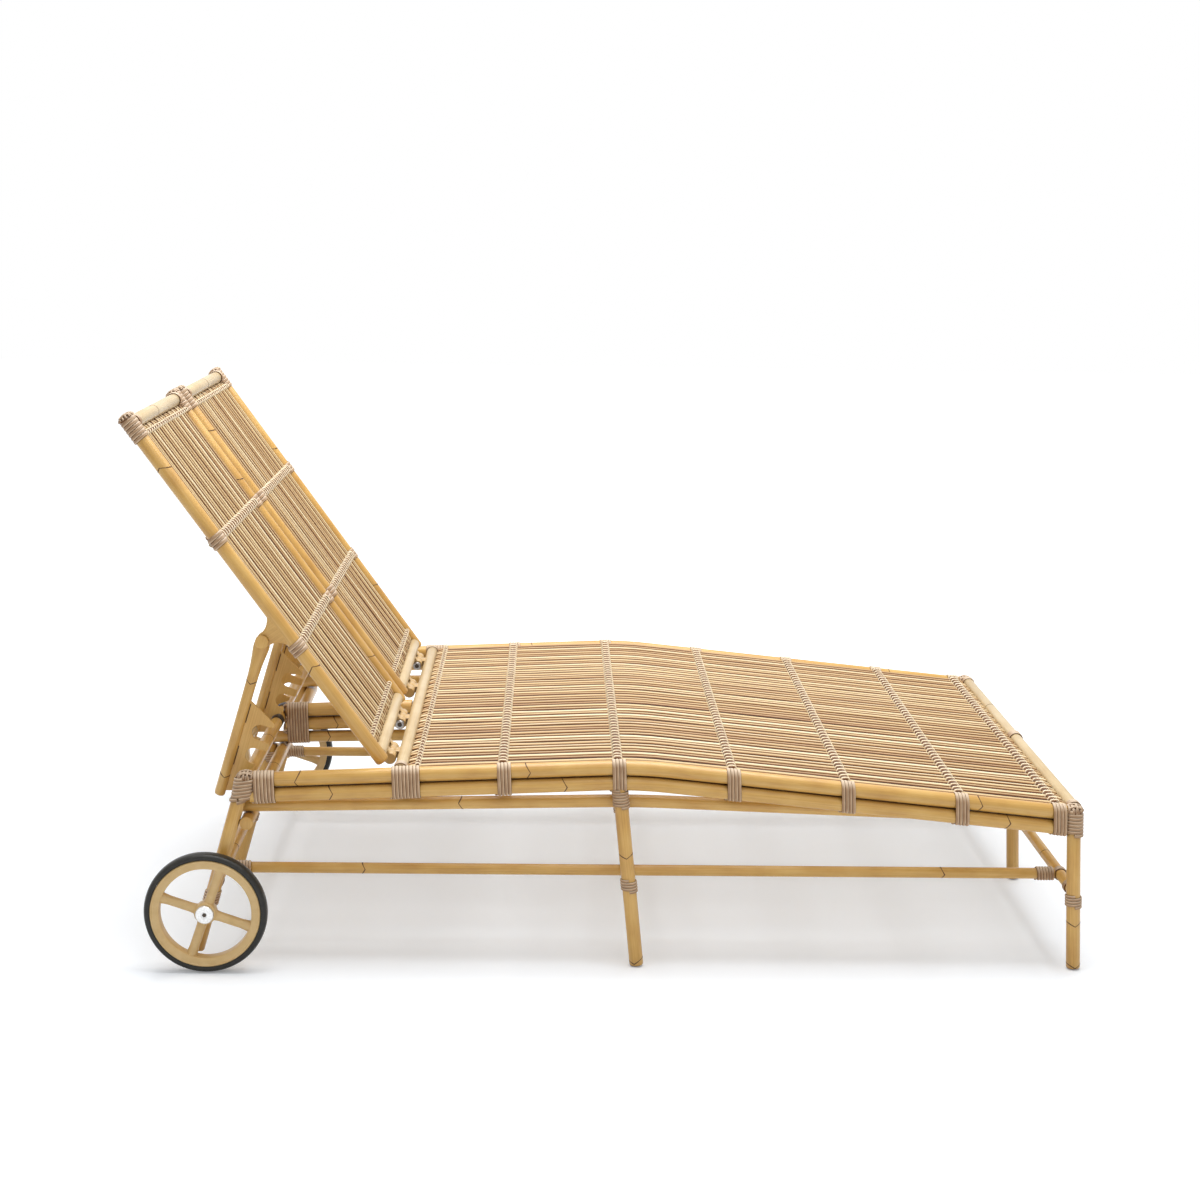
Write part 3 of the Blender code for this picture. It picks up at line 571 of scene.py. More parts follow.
def cord_finish(name, dark, middle, light, with_painted_light=False):
    """Plastic cord with fine fibres along it; a flat one has painted shade at its edges, a painted highlight
    line, paler tops that face up as painted light, and painted shade in the hollows.
    """
    material, add, wire = new_material(name, 0.46, Specular_IOR_Level=0.3)
    uv = add("ShaderNodeUVMap").outputs["UV"]
    fibre = noise(add, uv, detail=4.0, roughness=0.6, stretch=(900.0, 30.0))
    broad = noise(add, uv, 38.0)
    tone = ramp(add, weighed(add, fibre, 0.5, broad, 0.5), (0.3, dark), (0.5, middle), (0.72, light))
    if with_painted_light:
        # Painted shade and highlight: each turn is darker at both edges, where it meets the next turn, with a
        # painted highlight line along one side.
        edge, field = srgb(146, 114, 86), srgb(208, 194, 182)
        u = add("ShaderNodeSeparateXYZ", Vector=uv).outputs["X"]
        sideways = maths(add, "COSINE", maths(add, "MULTIPLY", u, math.tau / STRIP_GIRTH))
        painted_shade_and_highlight_band = ramp(add, rescale(add, sideways, -1.0, 1.0, 0.0, 1.0), (0.01, edge), (0.08, field),
                    (0.60, field), (0.72, WHITE), (0.90, WHITE), (0.98, edge))
        tone = mix(add, 1.0, tone, painted_shade_and_highlight_band, "MULTIPLY")
        # Painted light: the tops that face up are paler, where the light from above falls.
        facing = add("ShaderNodeSeparateXYZ", Vector=add("ShaderNodeTexCoord").outputs["Normal"]).outputs["Z"]
        tone = mix(add, rescale(add, facing, 0.25, 0.95, 0.0, 0.55), tone, srgb(240, 224, 200))
        tone = paint_hollow_shade(add, tone, 0.005, srgb(132, 100, 74))
    wire(Base_Color=tone, Normal=relief(add, fibre, 0.25, 0.0003))
    return material


cord_skin = cord_finish("binding_cord", srgb(182, 150, 118), srgb(208, 178, 144), srgb(236, 210, 176), True)
hoop_skin = cord_finish("hoop_cord", srgb(232, 211, 176), srgb(245, 228, 197), srgb(253, 242, 217))
# Painted shade: the core cord is coloured dark brown for the shade under and between the hoops.
core_shade_skin = cord_finish("core_cord_painted_shade", srgb(98, 60, 26), srgb(118, 76, 36), srgb(140, 94, 50))


def loop_round(circles, offset, count):
    """Points of a tight loop round some circles (x, y, radius) in a plane, from its lowest point."""
    cloud = sorted({(round(x + (r + offset) * c, 7), round(y + (r + offset) * s, 7))
                    for x, y, r in circles for c, s in circle(40)})

    def half(points):
        chain = []
        for p in points:
            while len(chain) > 1 and ((chain[-1][0] - chain[-2][0]) * (p[1] - chain[-2][1])
                                      - (chain[-1][1] - chain[-2][1]) * (p[0] - chain[-2][0])) <= 0:
                chain.pop()
            chain.append(p)
        return chain[:-1]

    hull = half(cloud) + half(cloud[::-1])
    lowest = min(range(len(hull)), key=lambda i: hull[i][1])
    hull = hull[lowest:] + hull[:lowest]
    sides = [math.dist(hull[i], hull[(i + 1) % len(hull)]) for i in range(len(hull))]
    step = sum(sides) / count
    result = []
    travelled = 0.0
    i = 0
    for k in range(count):
        while travelled + sides[i] < k * step:
            travelled += sides[i]
            i += 1
        share = (k * step - travelled) / sides[i]
        a, b = hull[i], hull[(i + 1) % len(hull)]
        result.append((a[0] + (b[0] - a[0]) * share, a[1] + (b[1] - a[1]) * share))
    return result


def wind(bm, circles, turns, pitch, place, count=28, seed=0.0):
    """A flat cord wound in touching turns round some circles; place sets (a, b, length) in space."""
    loop = loop_round(circles, TAPE_THICK, count)
    points, wides = [], []
    for i in range(turns * count + 1):
        a, b = loop[i % count]
        length = pitch * (i / count - turns / 2)
        points.append(place(a, b, length))
        wides.append(place(a, b, length + 0.001) - points[-1])
    width = 0.49 * pitch
    sweep(bm, points, width, 10, seed, wides, TAPE_THICK / width)


def cord_line(hoops, cores, x, low, high, count, height, slat, seed, narrow=False):
    """A cord line across a deck at x, with its flat core and a hoop through each gap between the rods.

    slat is the height and radius of what lies under the rods there.
    """
    pitch = (high - low) / count
    crown = height(x) + ROD_HALF_HEIGHT
    hoop_r, hoop_half = (0.0011, 0.0015) if narrow else (0.0012, 0.0022)
    spread, core_r, slant = (0.0012, 0.0016, 0.0040) if narrow else (0.0042, 0.0024, 0.0022)
    reach = spread + core_r + 0.0004
    core = [Vector((x, low + 0.004 + (high - low - 0.008) * i / (2 * count), crown + 0.0004))
            for i in range(2 * count + 1)]
    sweep(cores, core, reach, 10, seed, [Vector((1.0, 0.0, 0.0))] * len(core), CORE_HALF_THICK / reach)
    shoulder = spread + 0.0008
    corners = [(way * out, crown + rise, core_r) for out, rise in ((spread, 0.0020), (shoulder, -0.0050))
               for way in (-1, 1)]
    loop = loop_round([*corners, (0.0, *slat)], hoop_r, HOOP_POINTS)
    points, outs = [], []
    for i in range((count + 1) * HOOP_POINTS + 1):
        a, b = loop[i % HOOP_POINTS]
        turn = i / HOOP_POINTS - 0.5
        gap = math.floor(turn + 0.5)
        part = turn - gap
        eased = gap + 0.5 * math.copysign(abs(2 * part) ** 2.6, part)
        y = low + pitch * min(max(eased, 0.12), count - 0.12)
        above = b > height(x) - ROD_HALF_HEIGHT
        lean = slant * (0.5 - abs(a) / (shoulder + core_r + hoop_r)) if above else 0.0
        points.append(Vector((x + a, y + lean, b)))
        outs.append(Vector((a, 0.0, b - slat[0])))
    wides = [along.cross(out) for (point, along, across, up), out in zip(frames(points), outs)]
    sweep(hoops, points, hoop_half, 8, seed + 2, wides, hoop_r / hoop_half)


hoops, cores = bmesh.new(), bmesh.new()
for i, x in enumerate(LINES_X):
    slat = rail_height(x) - SLAT_DROP, SLAT_R
    if i in (0, len(LINES_X) - 1):
        slat = deck_height(x) - ROD_HALF_HEIGHT - LOOSE_R, LOOSE_R
    cord_line(hoops, cores, x, -DECK_HALF, DECK_HALF, ROD_COUNT, deck_height, slat, 10.0 + i, narrow=i == 0)
add_piece("seat_cord_hoops", hoops, hoop_skin)
add_piece("seat_cord_cores", cores, core_shade_skin)

# Lashings round the side rails at the cord lines, a wide one at the head bar, and short ones round
# the ends of the seat's bars: cord wound in touching turns.
RAIL_TURN = 0.0064
RAIL_PAIR = [(0.0, 0.0, RAIL_R), (0.0, -RAIL_STACK, RAIL_R)]
HEAD_LASHING, LINE_LASHING = (8, -0.0215), (4, 0.002)
BAR_TURN = 0.0060
BAR_LASHING_R, BAR_LASHING_Y = BAR_R - 0.0008, DECK_HALF - 0.0085


def wind_on_rail(cords, circles, y, middle, turns, pitch, seed, count=28):
    """Cord wound round stacked poles that bend with the side rails."""
    def on_rail(a, b, length):
        at = middle + length
        return Vector((at, y + a, rail_height(at) + b))

    wind(cords, circles, turns, pitch, on_rail, count, seed)


def wind_on(cords, axis, place, radius, turns, pitch, seed, count=28, way=1):
    """Cord wound round one straight pole along X or Y, with its middle at a place."""
    x, y, z = place

    def on_pole(a, b, length):
        return Vector((x + length, y + a, z + b) if axis == "X" else (x + a, y + way * length, z + b))

    wind(cords, [(0.0, 0.0, radius)], turns, pitch, on_pole, count, seed)


for name, side in SIDES.items():
    cords = bmesh.new()
    for i, x in enumerate(LINES_X[:-1]):
        turns, shift = LINE_LASHING if i else HEAD_LASHING
        wind_on_rail(cords, RAIL_PAIR, side * HALF_WIDTH, x + shift, turns, RAIL_TURN, 20.0 + i)
    for i, (x, z) in enumerate(((HEAD_X, HINGE.z), (foot_x, foot_z))):
        wind_on(cords, "Y", (x, side * BAR_LASHING_Y, z), BAR_LASHING_R, 3, BAR_TURN, 28.0 + i)
    add_piece(f"{name}_rail_lashings", cords, cord_skin)

# Corner bindings at the ends of the side rails: turns round both poles, turns round the leg and the
# pole ends that meet on it, and strands crossed over a padded corner.
LEG_TOPS = ((RAIL_REAR_X + 0.0240, 0.19, ((6, 0, [(-0.0046, 0.0, 0.0150), (0.0044, 0.0, 0.0150)]),
                                          (1, 6, [(-0.0078, 0.0, 0.0136)])), 32.0),
            (RAIL_FOOT_X - 0.0170, -0.04, ((7, 0, [(-0.0014, 0.0, 0.0146), (0.0014, 0.0, 0.0146)]),), 33.0))
RAIL_END_WINDINGS = ((RAIL_REAR_X + 0.0560, 6, 30.0), (RAIL_FOOT_X - 0.0455, 4, 31.0))
CAP_DROP = 0.009
CAP_REACH, CAP_RISE = 0.0172, 0.0105
STRANDS = 4


def crossed_cap(bm, centre, normal, reach, rise, seed):
    """Strands crossed both ways over a rounded pad; normal is the way the cap faces."""
    first = across_of(normal)
    second = normal.cross(first)
    pad = [(reach * 0.98, -0.004), (reach * 0.96, 0.0), (reach * 0.8, rise * 0.45), (reach * 0.5, rise * 0.8),
           (reach * 0.2, rise * 0.95)]
    join_rings(bm, [[bm.verts.new(centre + normal * height + radius * (c * first + s * second))
                     for c, s in circle(24)] for radius, height in pad])
    for way, (along, across) in enumerate(((first, second), (second, first))):
        for k in range(STRANDS):
            offset = reach * 0.82 * (2 * (k + 0.5) / STRANDS - 1)
            half = math.sqrt(max(reach ** 2 - offset ** 2, 0.0))
            arch = []
            for step in range(13):
                angle = math.pi * step / 12
                run = half * math.cos(angle)
                inner = math.sqrt(max(0.0, 1 - (run ** 2 + offset ** 2) / reach ** 2))
                over = 0.0011 * (1 if (k + way) % 2 else -1) * math.sin(angle)
                arch.append(centre + along * run + across * offset + normal * (rise * inner + 0.0004 + over))
            sweep(bm, arch, CORD_R * 0.92, 8, seed + 4 * way + k)


def wind_on_leg_top(cords, corner, y, top, lean, turns, start, circles, seed):
    """Cord wound down a leg from its corner, leaning with the leg; start counts the turns above."""
    def round_leg(a, b, length):
        down = (start + turns / 2) * RAIL_TURN - length
        tilt = 0.10 * a * (1 if lean > 0 else -1)
        return Vector((corner + a - lean * down, y + b, top - down + tilt))

    wind(cords, circles, turns, RAIL_TURN, round_leg, seed=seed + start)


for name, side in SIDES.items():
    cords = bmesh.new()
    y = side * HALF_WIDTH
    for middle, turns, seed in RAIL_END_WINDINGS:
        wind_on_rail(cords, RAIL_PAIR, y, middle, turns, RAIL_TURN, seed)
    for corner, lean, windings, seed in LEG_TOPS:
        top = rail_height(corner) + RAIL_R - CAP_DROP
        for turns, start, circles in windings:
            wind_on_leg_top(cords, corner, y, top, lean, turns, start, circles, seed)
        crossed_cap(cords, Vector((corner, y, top)), Vector((0.0, 0.0, 1.0)), CAP_REACH, CAP_RISE, seed)
    add_piece(f"{name}_corner_bindings", cords, cord_skin)

# Centre bindings: a wide winding round the three stacked poles of the centre rail at the head end,
# with strands crossed over their ends, and a few turns that tie the foot bar to the centre rail.
STACK_X = CENTRE_REAR_X + 0.024
STACK_TURN = 0.0056
END_STRANDS = 6
END_STRAND_PITCH, END_STRAND_SLOPE = 0.0135, 0.010
LEG_TURN = 0.0054
cords = bmesh.new()
stack = [(0.0, 0.0, RAIL_R), (0.0, inner_height(STACK_X) - rail_height(STACK_X), INNER_R)]
wind_on_rail(cords, stack, 0.0, STACK_X, 8, STACK_TURN, 35.0, 36)
for k in range(END_STRANDS):
    level = rail_height(CENTRE_REAR_X) + 0.006 - k * END_STRAND_PITCH
    slope = END_STRAND_SLOPE if k % 2 else -END_STRAND_SLOPE
    strand = []
    for step in range(11):
        out, across = math.sin(math.pi * step / 10), math.cos(math.pi * step / 10)
        strand.append(Vector((CENTRE_REAR_X + 0.0025 - 0.0065 * out, 0.0165 * across, level + slope * across)))
    sweep(cords, strand, CORD_R, 8, 36.0 + k)
wind_on(cords, "Y", (foot_x, 0.0, foot_z), BAR_R, 5, LEG_TURN, 38.0, 24)
add_piece("centre_bindings", cords, cord_skin)

# Leg bindings: the same flat cord in short tight windings, round the legs under the rails and round
# the stretchers where they meet the legs and each other.
LEG_BINDINGS = (("middle", 0.3225, 6), ("middle", 0.1560, 4), ("front", 0.1320, 4), ("rear", 0.1270, 5))
REAR_BINDING, FRONT_BINDING = 0.022, 0.020
UNDER_RAIL, UNDER_STRETCHER, OVER_STRETCHER = 0.026, 0.028, 0.013


def wind_on_leg(cords, place, y, height, turns, seed):
    """Cord wound round a leg at a height."""
    def on_leg(a, b, length):
        return Vector((leg_x(place, height + length) + a, y + b, height + length))

    wind(cords, [(0.0, 0.0, LEG_R)], turns, LEG_TURN, on_leg, 24, seed)


for name, side in SIDES.items():
    cords = bmesh.new()
    for i, (place, height, turns) in enumerate(LEG_BINDINGS):
        wind_on_leg(cords, place, side * HALF_WIDTH, height, turns, 40.0 + i)
    low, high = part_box(f"{name}_side_stretcher")
    for i, (x, turns) in enumerate(((low[0] + REAR_BINDING, 7), (high[0] - FRONT_BINDING, 6))):
        wind_on(cords, "X", (x, side * SIDE_STRETCHER_Y, SIDE_STRETCHER_Z), STRETCHER_R, turns, LEG_TURN,
                50.0 + i, 22)
    for i, place in enumerate(("rear", "front", "middle")):
        z = STRETCHER_HEIGHTS[place]
        for j, y in enumerate((SIDE_STRETCHER_Y, INNER_Y)):
            wind_on(cords, "Y", (leg_x(place, z), side * y, z), STRETCHER_R, 3, LEG_TURN, 60.0 + 3 * i + j, 22)
    add_piece(f"{name}_leg_bindings", cords, cord_skin)
cords = bmesh.new()
for i, (place, top) in enumerate(CENTRE_LEG_TOPS.items()):
    crossing = STRETCHER_HEIGHTS[place]
    spots = ((top - UNDER_RAIL, 4), (crossing - UNDER_STRETCHER, 3), (crossing + OVER_STRETCHER, 3))
    for j, (height, turns) in enumerate(spots):
        wind_on_leg(cords, place, 0.0, height, turns, 90.0 + 3 * i + j)
add_piece("centre_leg_bindings", cords, cord_skin)

# Wheels: a cast rim with round spokes, lacquered like the poles, a black rubber tyre, and a bright
# capped axle with a socket screw.
AXLE_X, AXLE_Z = -0.739498, 0.113
WHEEL_INNER, WHEEL_OUTER = HALF_WIDTH + 0.0316, HALF_WIDTH + 0.0596
LEG_FACE = HALF_WIDTH + 0.0133
RIM = [(0.1012, -0.0138), (0.0885, -0.0138), (0.0850, -0.0118), (0.0840, -0.0078), (0.0840, 0.0078),
       (0.0850, 0.0118), (0.0885, 0.0138), (0.0972, 0.0138), (0.0979, 0.0147), (0.0996, 0.0147),
       (0.1010, 0.0132)]
HUB = [(0.0150, -0.0138), (0.0185, -0.0123), (0.0205, -0.0078), (0.0205, 0.0098), (0.0195, 0.0126),
       (0.0178, 0.0138), (0.0065, 0.0138)]
SPOKES = 4
SPOKE_TURN = math.radians(18.5)
SPOKE_REACHES = (0.016, 0.022, 0.028, 0.070, 0.079, 0.088)
SPOKE_RADII = (0.0105, 0.0095, 0.0088, 0.0088, 0.0098, 0.0115)
HALF_TREAD = [(0.1014, 0.0128), (0.1040, 0.0146), (0.1080, 0.0142), (0.1110, 0.0112), (0.1126, 0.0065)]
TREAD = [(r, -y) for r, y in HALF_TREAD] + [(0.1130, 0.0)] + HALF_TREAD[::-1]
CAP_GAP = 0.0003
AXLE_CAP = [(0.0060, 0.0), (0.0162, 0.0), (0.0170, 0.0010), (0.0170, 0.0042), (0.0158, 0.0055),
            (0.0060, 0.0058), (0.0056, 0.0050), (0.0034, 0.0050)]
AXLE_SOCKET = [(0.0042, 0.0046), (0.0042, 0.00585), (0.0034, 0.0060)]
rim_skin = mottled("cast_rim", 0.42, (60.0, 5.0), ((0.3, srgb(207, 172, 114)), (0.5, srgb(212, 178, 121)),
                                                   (0.7, srgb(217, 184, 128))),
                   bump=(0.08, 0.0003), bump_grain=(700.0,), Coat_Weight=0.08)
rubber = mottled("tyre_rubber", 0.55, (90.0, 6.0, 0.7), ((0.35, srgb(22, 20, 16)), (0.6, srgb(40, 38, 33)),
                                                         (0.8, srgb(66, 64, 58))),
                 rough_to=(0.30, 0.50), bump=(0.2, 0.0004), Specular_IOR_Level=0.35)
metal = mottled("bright_metal", 0.3, (260.0, 4.0), ((0.3, srgb(205, 203, 200)), (0.7, srgb(236, 235, 233))),
                rough_to=(0.24, 0.42), Metallic=1.0)
steel = mottled("bolt_steel", 0.38, (420.0, 3.0), ((0.3, srgb(150, 147, 146)), (0.7, srgb(190, 187, 185))),
                Metallic=1.0)
# Painted shade: each screw socket is a dark hex piece that stands for the shade inside its recess.
socket_painted_shade = mottled("socket_painted_shade", 0.7, (500.0,), ((0.3, srgb(58, 48, 40)), (0.7, srgb(92, 80, 66))), False)


def turn_about_y(bm, profile, x, z, sides, closed=False):
    """A shape turned about a line along Y from (radius, y) points."""
    rings = [[bm.verts.new((x + radius * c, y, z + radius * s)) for c, s in circle(sides)]
             for radius, y in profile]
    join_rings(bm, rings, closed)


def turned_piece(name, profile, x, z, sides, *rest, closed=False):
    """A turned shape as a piece of its own; the rest is its material, body, place, node and slot, and the slot
    is not used.
    """
    bm = bmesh.new()
    turn_about_y(bm, profile, x, z, sides, closed)
    add_piece(name, bm, *rest)


def slid(profile, start, way):
    """A profile moved along Y to a start, and turned the other way round where way is negative."""
    return [(radius, start + way * y) for radius, y in profile]


for name, side in SIDES.items():
    inner, outer = side * WHEEL_INNER, side * WHEEL_OUTER
    middle = (inner + outer) / 2
    bm = bmesh.new()
    turn_about_y(bm, slid(RIM, middle, side), AXLE_X, AXLE_Z, 96, closed=True)
    turn_about_y(bm, slid(HUB, middle, side), AXLE_X, AXLE_Z, 48)
    for k in range(SPOKES):
        angle = SPOKE_TURN + k * math.tau / SPOKES
        out = Vector((math.cos(angle), 0.0, -math.sin(angle)))
        sweep(bm, [Vector((AXLE_X, middle, AXLE_Z)) + out * reach for reach in SPOKE_REACHES], SPOKE_RADII, 20)
    add_piece(f"{name}_cast_rim", bm, rim_skin, f"{name}_wheel", None, f"{name}_rim", "pale_bamboo_tube")
    turned_piece(f"{name}_rubber_tyre", slid(TREAD, middle, 1), AXLE_X, AXLE_Z, 96, rubber, f"{name}_wheel",
                 None, f"{name}_tyre", "black_rubber", closed=True)
    leg_face = side * LEG_FACE
    cap = outer + side * CAP_GAP
    shaft = [(0.0085, leg_face), (0.0100, leg_face + side * 0.0012), (0.0100, inner - side * 0.0012),
             (0.0090, inner - side * CAP_GAP), (0.0060, inner - side * CAP_GAP)]
    turned_piece(f"{name}_capped_axle", shaft + slid(AXLE_CAP, cap, side), AXLE_X, AXLE_Z, 48, metal, "frame",
                 None, f"{name}_axle", "bright_metal")
    turned_piece(f"{name}_axle_socket", slid(AXLE_SOCKET, cap, side), AXLE_X, AXLE_Z, 6, socket_painted_shade)

# Backrest poles: each backrest is a frame of its own, two long poles and a pale top bar, tilted up
# about the hinges. A lug that carries the prop grows out of the underside of each long pole.
RECLINE = math.radians(54)
BACK = Matrix.Translation(HINGE) @ Matrix.Rotation(RECLINE, 4, "Y")
BACK_LENGTH = 0.780
BACK_R = 0.0132
BACK_ROUNDING = 0.005
BACK_OVERRUN = 0.012
BACK_Y = {"outer": 0.5168, "inner": 0.0352}
BACK_INSIDE = (BACK_Y["inner"] + BACK_R + 0.0003, BACK_Y["outer"] - BACK_R - 0.0003)
BACK_LINES = {"right_outer": (-0.110, -0.562), "right_inner": (-0.212, -0.664),
              "left_inner": (-0.102, -0.520), "left_outer": (-0.216, -0.600)}
TOP_BAR_R = 0.013
BACK_SLAT_Z = -0.0118
BACK_BARS = (("top_pole", "top_bar", -BACK_LENGTH, 0.0, TOP_BAR_R, (0.255,)),
             ("bottom_pole", "bottom_bar", -0.026, 0.0, BAR_R, ()),
             ("slat_pole_1", "slat_1", -0.278, BACK_SLAT_Z, SLAT_R, ()),
             ("slat_pole_2", "slat_2", -0.522, BACK_SLAT_Z, SLAT_R, ()))
PIVOT = Vector((-0.324, 0.0, -0.046))
LUG_SIDES = 32
LUG_SECTIONS = ((-0.002, 0.0440, 0.0116), (-0.0095, 0.0360, 0.0110), (-0.0150, 0.0272, 0.0096),
                (-0.0210, 0.0212, 0.0078), (-0.0270, 0.0170, 0.0062), (-0.0330, 0.0146, 0.0052),
                (-0.0400, 0.0136, 0.0050), (-0.0460, 0.0131, 0.0050), (-0.0520, 0.0117, 0.0050),
                (-0.0560, 0.0085, 0.0049), (-0.0585, 0.0040, 0.0046))


def lug(bm, y):
    """The lug under a backrest pole, as rounded sections that narrow from the pole to the pivot."""
    join_rings(bm, [[bm.verts.new((PIVOT.x + half_length * math.copysign(abs(c) ** 0.6, c),
                                   y + half_depth * math.copysign(abs(s) ** 0.45, s), z))
                     for c, s in circle(LUG_SIDES)] for z, half_length, half_depth in LUG_SECTIONS])


for name, side in SIDES.items():
    body = f"{name}_backrest"
    for edge, y in BACK_Y.items():
        ends = [Vector((x - BACK_OVERRUN, side * y, 0.0)) for x in (-BACK_LENGTH, 0.0)]
        pole(f"{name}_back_{edge}_pole", f"{name}_back_{edge}_rail", ends, BACK_R, honey,
             BACK_LINES[f"{name}_{edge}"], body, BACK, BACK_ROUNDING)
        bm = bmesh.new()
        lug(bm, side * y)
        add_piece(f"{name}_back_{edge}_lug", bm, honey, body, BACK, slot="bamboo_tube")
    for piece, node, x, z, radius, lines in BACK_BARS:
        ends = [Vector((x, side * y, z)) for y in BACK_INSIDE]
        pole(f"{name}_back_{piece}", f"{name}_back_{node}", ends, radius, pale, lines, body, BACK)

# Backrest rods and cord lines: the same rods and wound cords as the seat, with the rods darker and browner as
# painted shade, over two slats and near both bars, with short lashings where a line reaches the poles.
BACK_RODS = 21
BACK_ROD_Z = 0.0009
BACK_ROD_START, BACK_ROD_END = -BACK_LENGTH + 0.0125, -0.0375
BACK_CORDS = (-0.752, -0.522, -0.2785, -0.061)
LOOSE_SLAT = (BACK_ROD_Z - ROD_HALF_HEIGHT - LOOSE_R, LOOSE_R)
BACK_CORD_SLATS = (LOOSE_SLAT, (BACK_SLAT_Z, SLAT_R), (BACK_SLAT_Z, 0.0070), LOOSE_SLAT)
BACK_UNEVEN = 0.0026
# Painted shade: a darker, browner copy of the seat's cane, used only on the backrests.
shaded_cane_copy = cane("cane_rod_shaded_copy", (0.88, 0.86, 0.81, 1.0))


def back_rod_height(x):
    """Height of the middle of the backrest rods over the backrest's plane."""
    return BACK_ROD_Z


for name, side in SIDES.items():
    body = f"{name}_backrest"
    low, high = sorted(side * y for y in BACK_INSIDE)
    rod_field(f"{name}_back_cane_rods", f"{name}_back_rods", body, shaded_cane_copy, BACK_ROD_START, BACK_ROD_END,
              BACK_CORDS, low, high, BACK_RODS, back_rod_height, 0.3 + 0.1 * side, BACK_UNEVEN, BACK)
    cords, hoops, cores = bmesh.new(), bmesh.new(), bmesh.new()
    for i, (x, slat) in enumerate(zip(BACK_CORDS, BACK_CORD_SLATS)):
        cord_line(hoops, cores, x, low, high, BACK_RODS, back_rod_height, slat, 70.0 + i, slat == LOOSE_SLAT)
    for i, x in enumerate(BACK_CORDS[1:3]):
        for y in BACK_Y.values():
            wind_on(cords, "X", (x, side * y, 0.0), BACK_R, 3, 0.0080, 80.0 + i + y)
    add_piece(f"{name}_back_lashings", cords, cord_skin, body, BACK)
    add_piece(f"{name}_back_cord_hoops", hoops, hoop_skin, body, BACK)
    add_piece(f"{name}_back_cord_cores", cores, core_shade_skin, body, BACK)

# Backrest corners: cord wound round the head of each pole and the end of the top bar, with strands
# crossed over the pole's end.
HEAD_WINDING_X = -BACK_LENGTH + 0.0115
HEAD_CAP_X = -BACK_LENGTH - 0.0105
HEAD_CAP_REACH, HEAD_CAP_RISE = 0.0154, 0.0072
for name, side in SIDES.items():
    cords = bmesh.new()
    for edge, inward in (("outer", -side), ("inner", side)):
        y = side * BACK_Y[edge]
        wind_on(cords, "X", (HEAD_WINDING_X, y, 0.0), BACK_R, 6, 0.0072, 90.0 + inward)
        wind_on(cords, "Y", (-BACK_LENGTH, y + inward * (BACK_R + 0.0125), 0.0), TOP_BAR_R, 3, 0.0052,
                94.0 + inward, way=inward)
        crossed_cap(cords, Vector((HEAD_CAP_X, y, 0.0)), Vector((-1.0, 0.0, 0.0)), HEAD_CAP_REACH,
                    HEAD_CAP_RISE, 97.0 + inward)
    add_piece(f"{name}_back_corner_bindings", cords, cord_skin, f"{name}_backrest", BACK)

# Hinges: cast knuckles welded to the seat's head bar and to each backrest's bottom bar, one between
# two, on a bright socket-head bolt that is screwed into the closed knuckle.
KNUCKLE_R = 0.0117
ARM_HALF, ARM_REACH = 0.007, 0.018
KNUCKLE_STEPS = 28
HINGE_STARTS = {side: ((side * 0.4558, -side), (side * 0.0962, side)) for side in (-1, 1)}
BOLT = [(0.0045, 0.010), (0.0045, 0.0853), (0.0078, 0.0853), (0.0085, 0.0861), (0.0085, 0.0931),
        (0.0077, 0.0942), (0.0048, 0.0943), (0.0045, 0.0936), (0.0045, 0.0900)]
BOLT_SOCKET = [(0.0044, 0.0898), (0.0044, 0.0936), (0.0036, 0.0938)]
cast_skin = bamboo("cast_knuckle", srgb(184, 148, 90), srgb(195, 159, 101), srgb(206, 172, 114))


def bevelled_plate(bm, outline, low, high, bevel):
    """A flat shape in the XZ plane, drawn out along Y with eased edges."""
    count = len(outline)
    normals = []
    for i in range(count):
        before = Vector(outline[i]) - Vector(outline[i - 1])
        after = Vector(outline[(i + 1) % count]) - Vector(outline[i])
        across = before.normalized() + after.normalized()
        normals.append(Vector((-across.y, across.x)).normalized())
    ease = math.copysign(bevel, high - low)
    join_rings(bm, [[bm.verts.new((p[0] + n.x * inset, y, p[1] + n.y * inset))
                     for p, n in zip(outline, normals)]
                    for y, inset in ((low, bevel), (low + ease, 0.0), (high - ease, 0.0), (high, bevel))])


def knuckle(bm, start, way, low, high, facing, bevel=0.0012):
    """One knuckle with its arm to the bar, between two lengths along the pin."""
    opening = math.asin(ARM_HALF / KNUCKLE_R)
    angles = [opening + (math.tau - 2 * opening) * i / KNUCKLE_STEPS for i in range(KNUCKLE_STEPS + 1)]
    outline = [(KNUCKLE_R * math.cos(a), KNUCKLE_R * math.sin(a)) for a in angles]
    outline += [(ARM_REACH, -ARM_HALF), (ARM_REACH, ARM_HALF)]
    if facing < 0:
        outline = [(-x, z) for x, z in reversed(outline)]
    bevelled_plate(bm, outline, start + way * low, start + way * high, bevel)


knuckles = bmesh.new()
for hinges in HINGE_STARTS.values():
    for start, way in hinges:
        knuckle(knuckles, start, way, 0.0305, 0.0645, 1)
add_piece("seat_hinge_knuckles", knuckles, cast_skin, "frame", Matrix.Translation(HINGE),
          slot="pale_bamboo_tube")
for name, side in SIDES.items():
    body = f"{name}_backrest"
    knuckles = bmesh.new()
    for place, (start, way) in zip(("outer", "inner"), HINGE_STARTS[side]):
        knuckle(knuckles, start, way, 0.0, 0.0300, -1, 0.002)
        knuckle(knuckles, start, way, 0.0650, 0.0850, -1)
        turned_piece(f"{name}_{place}_socket_bolt", slid(BOLT, start, way), 0.0, 0.0, 36, steel, body, BACK,
                     f"{name}_{place}_hinge_bolt", "bright_metal")
        turned_piece(f"{name}_{place}_bolt_socket", slid(BOLT_SOCKET, start, way), 0.0, 0.0, 6, socket_painted_shade,
                     body, BACK)
    add_piece(f"{name}_back_hinge_knuckles", knuckles, cast_skin, body, BACK, slot="pale_bamboo_tube")

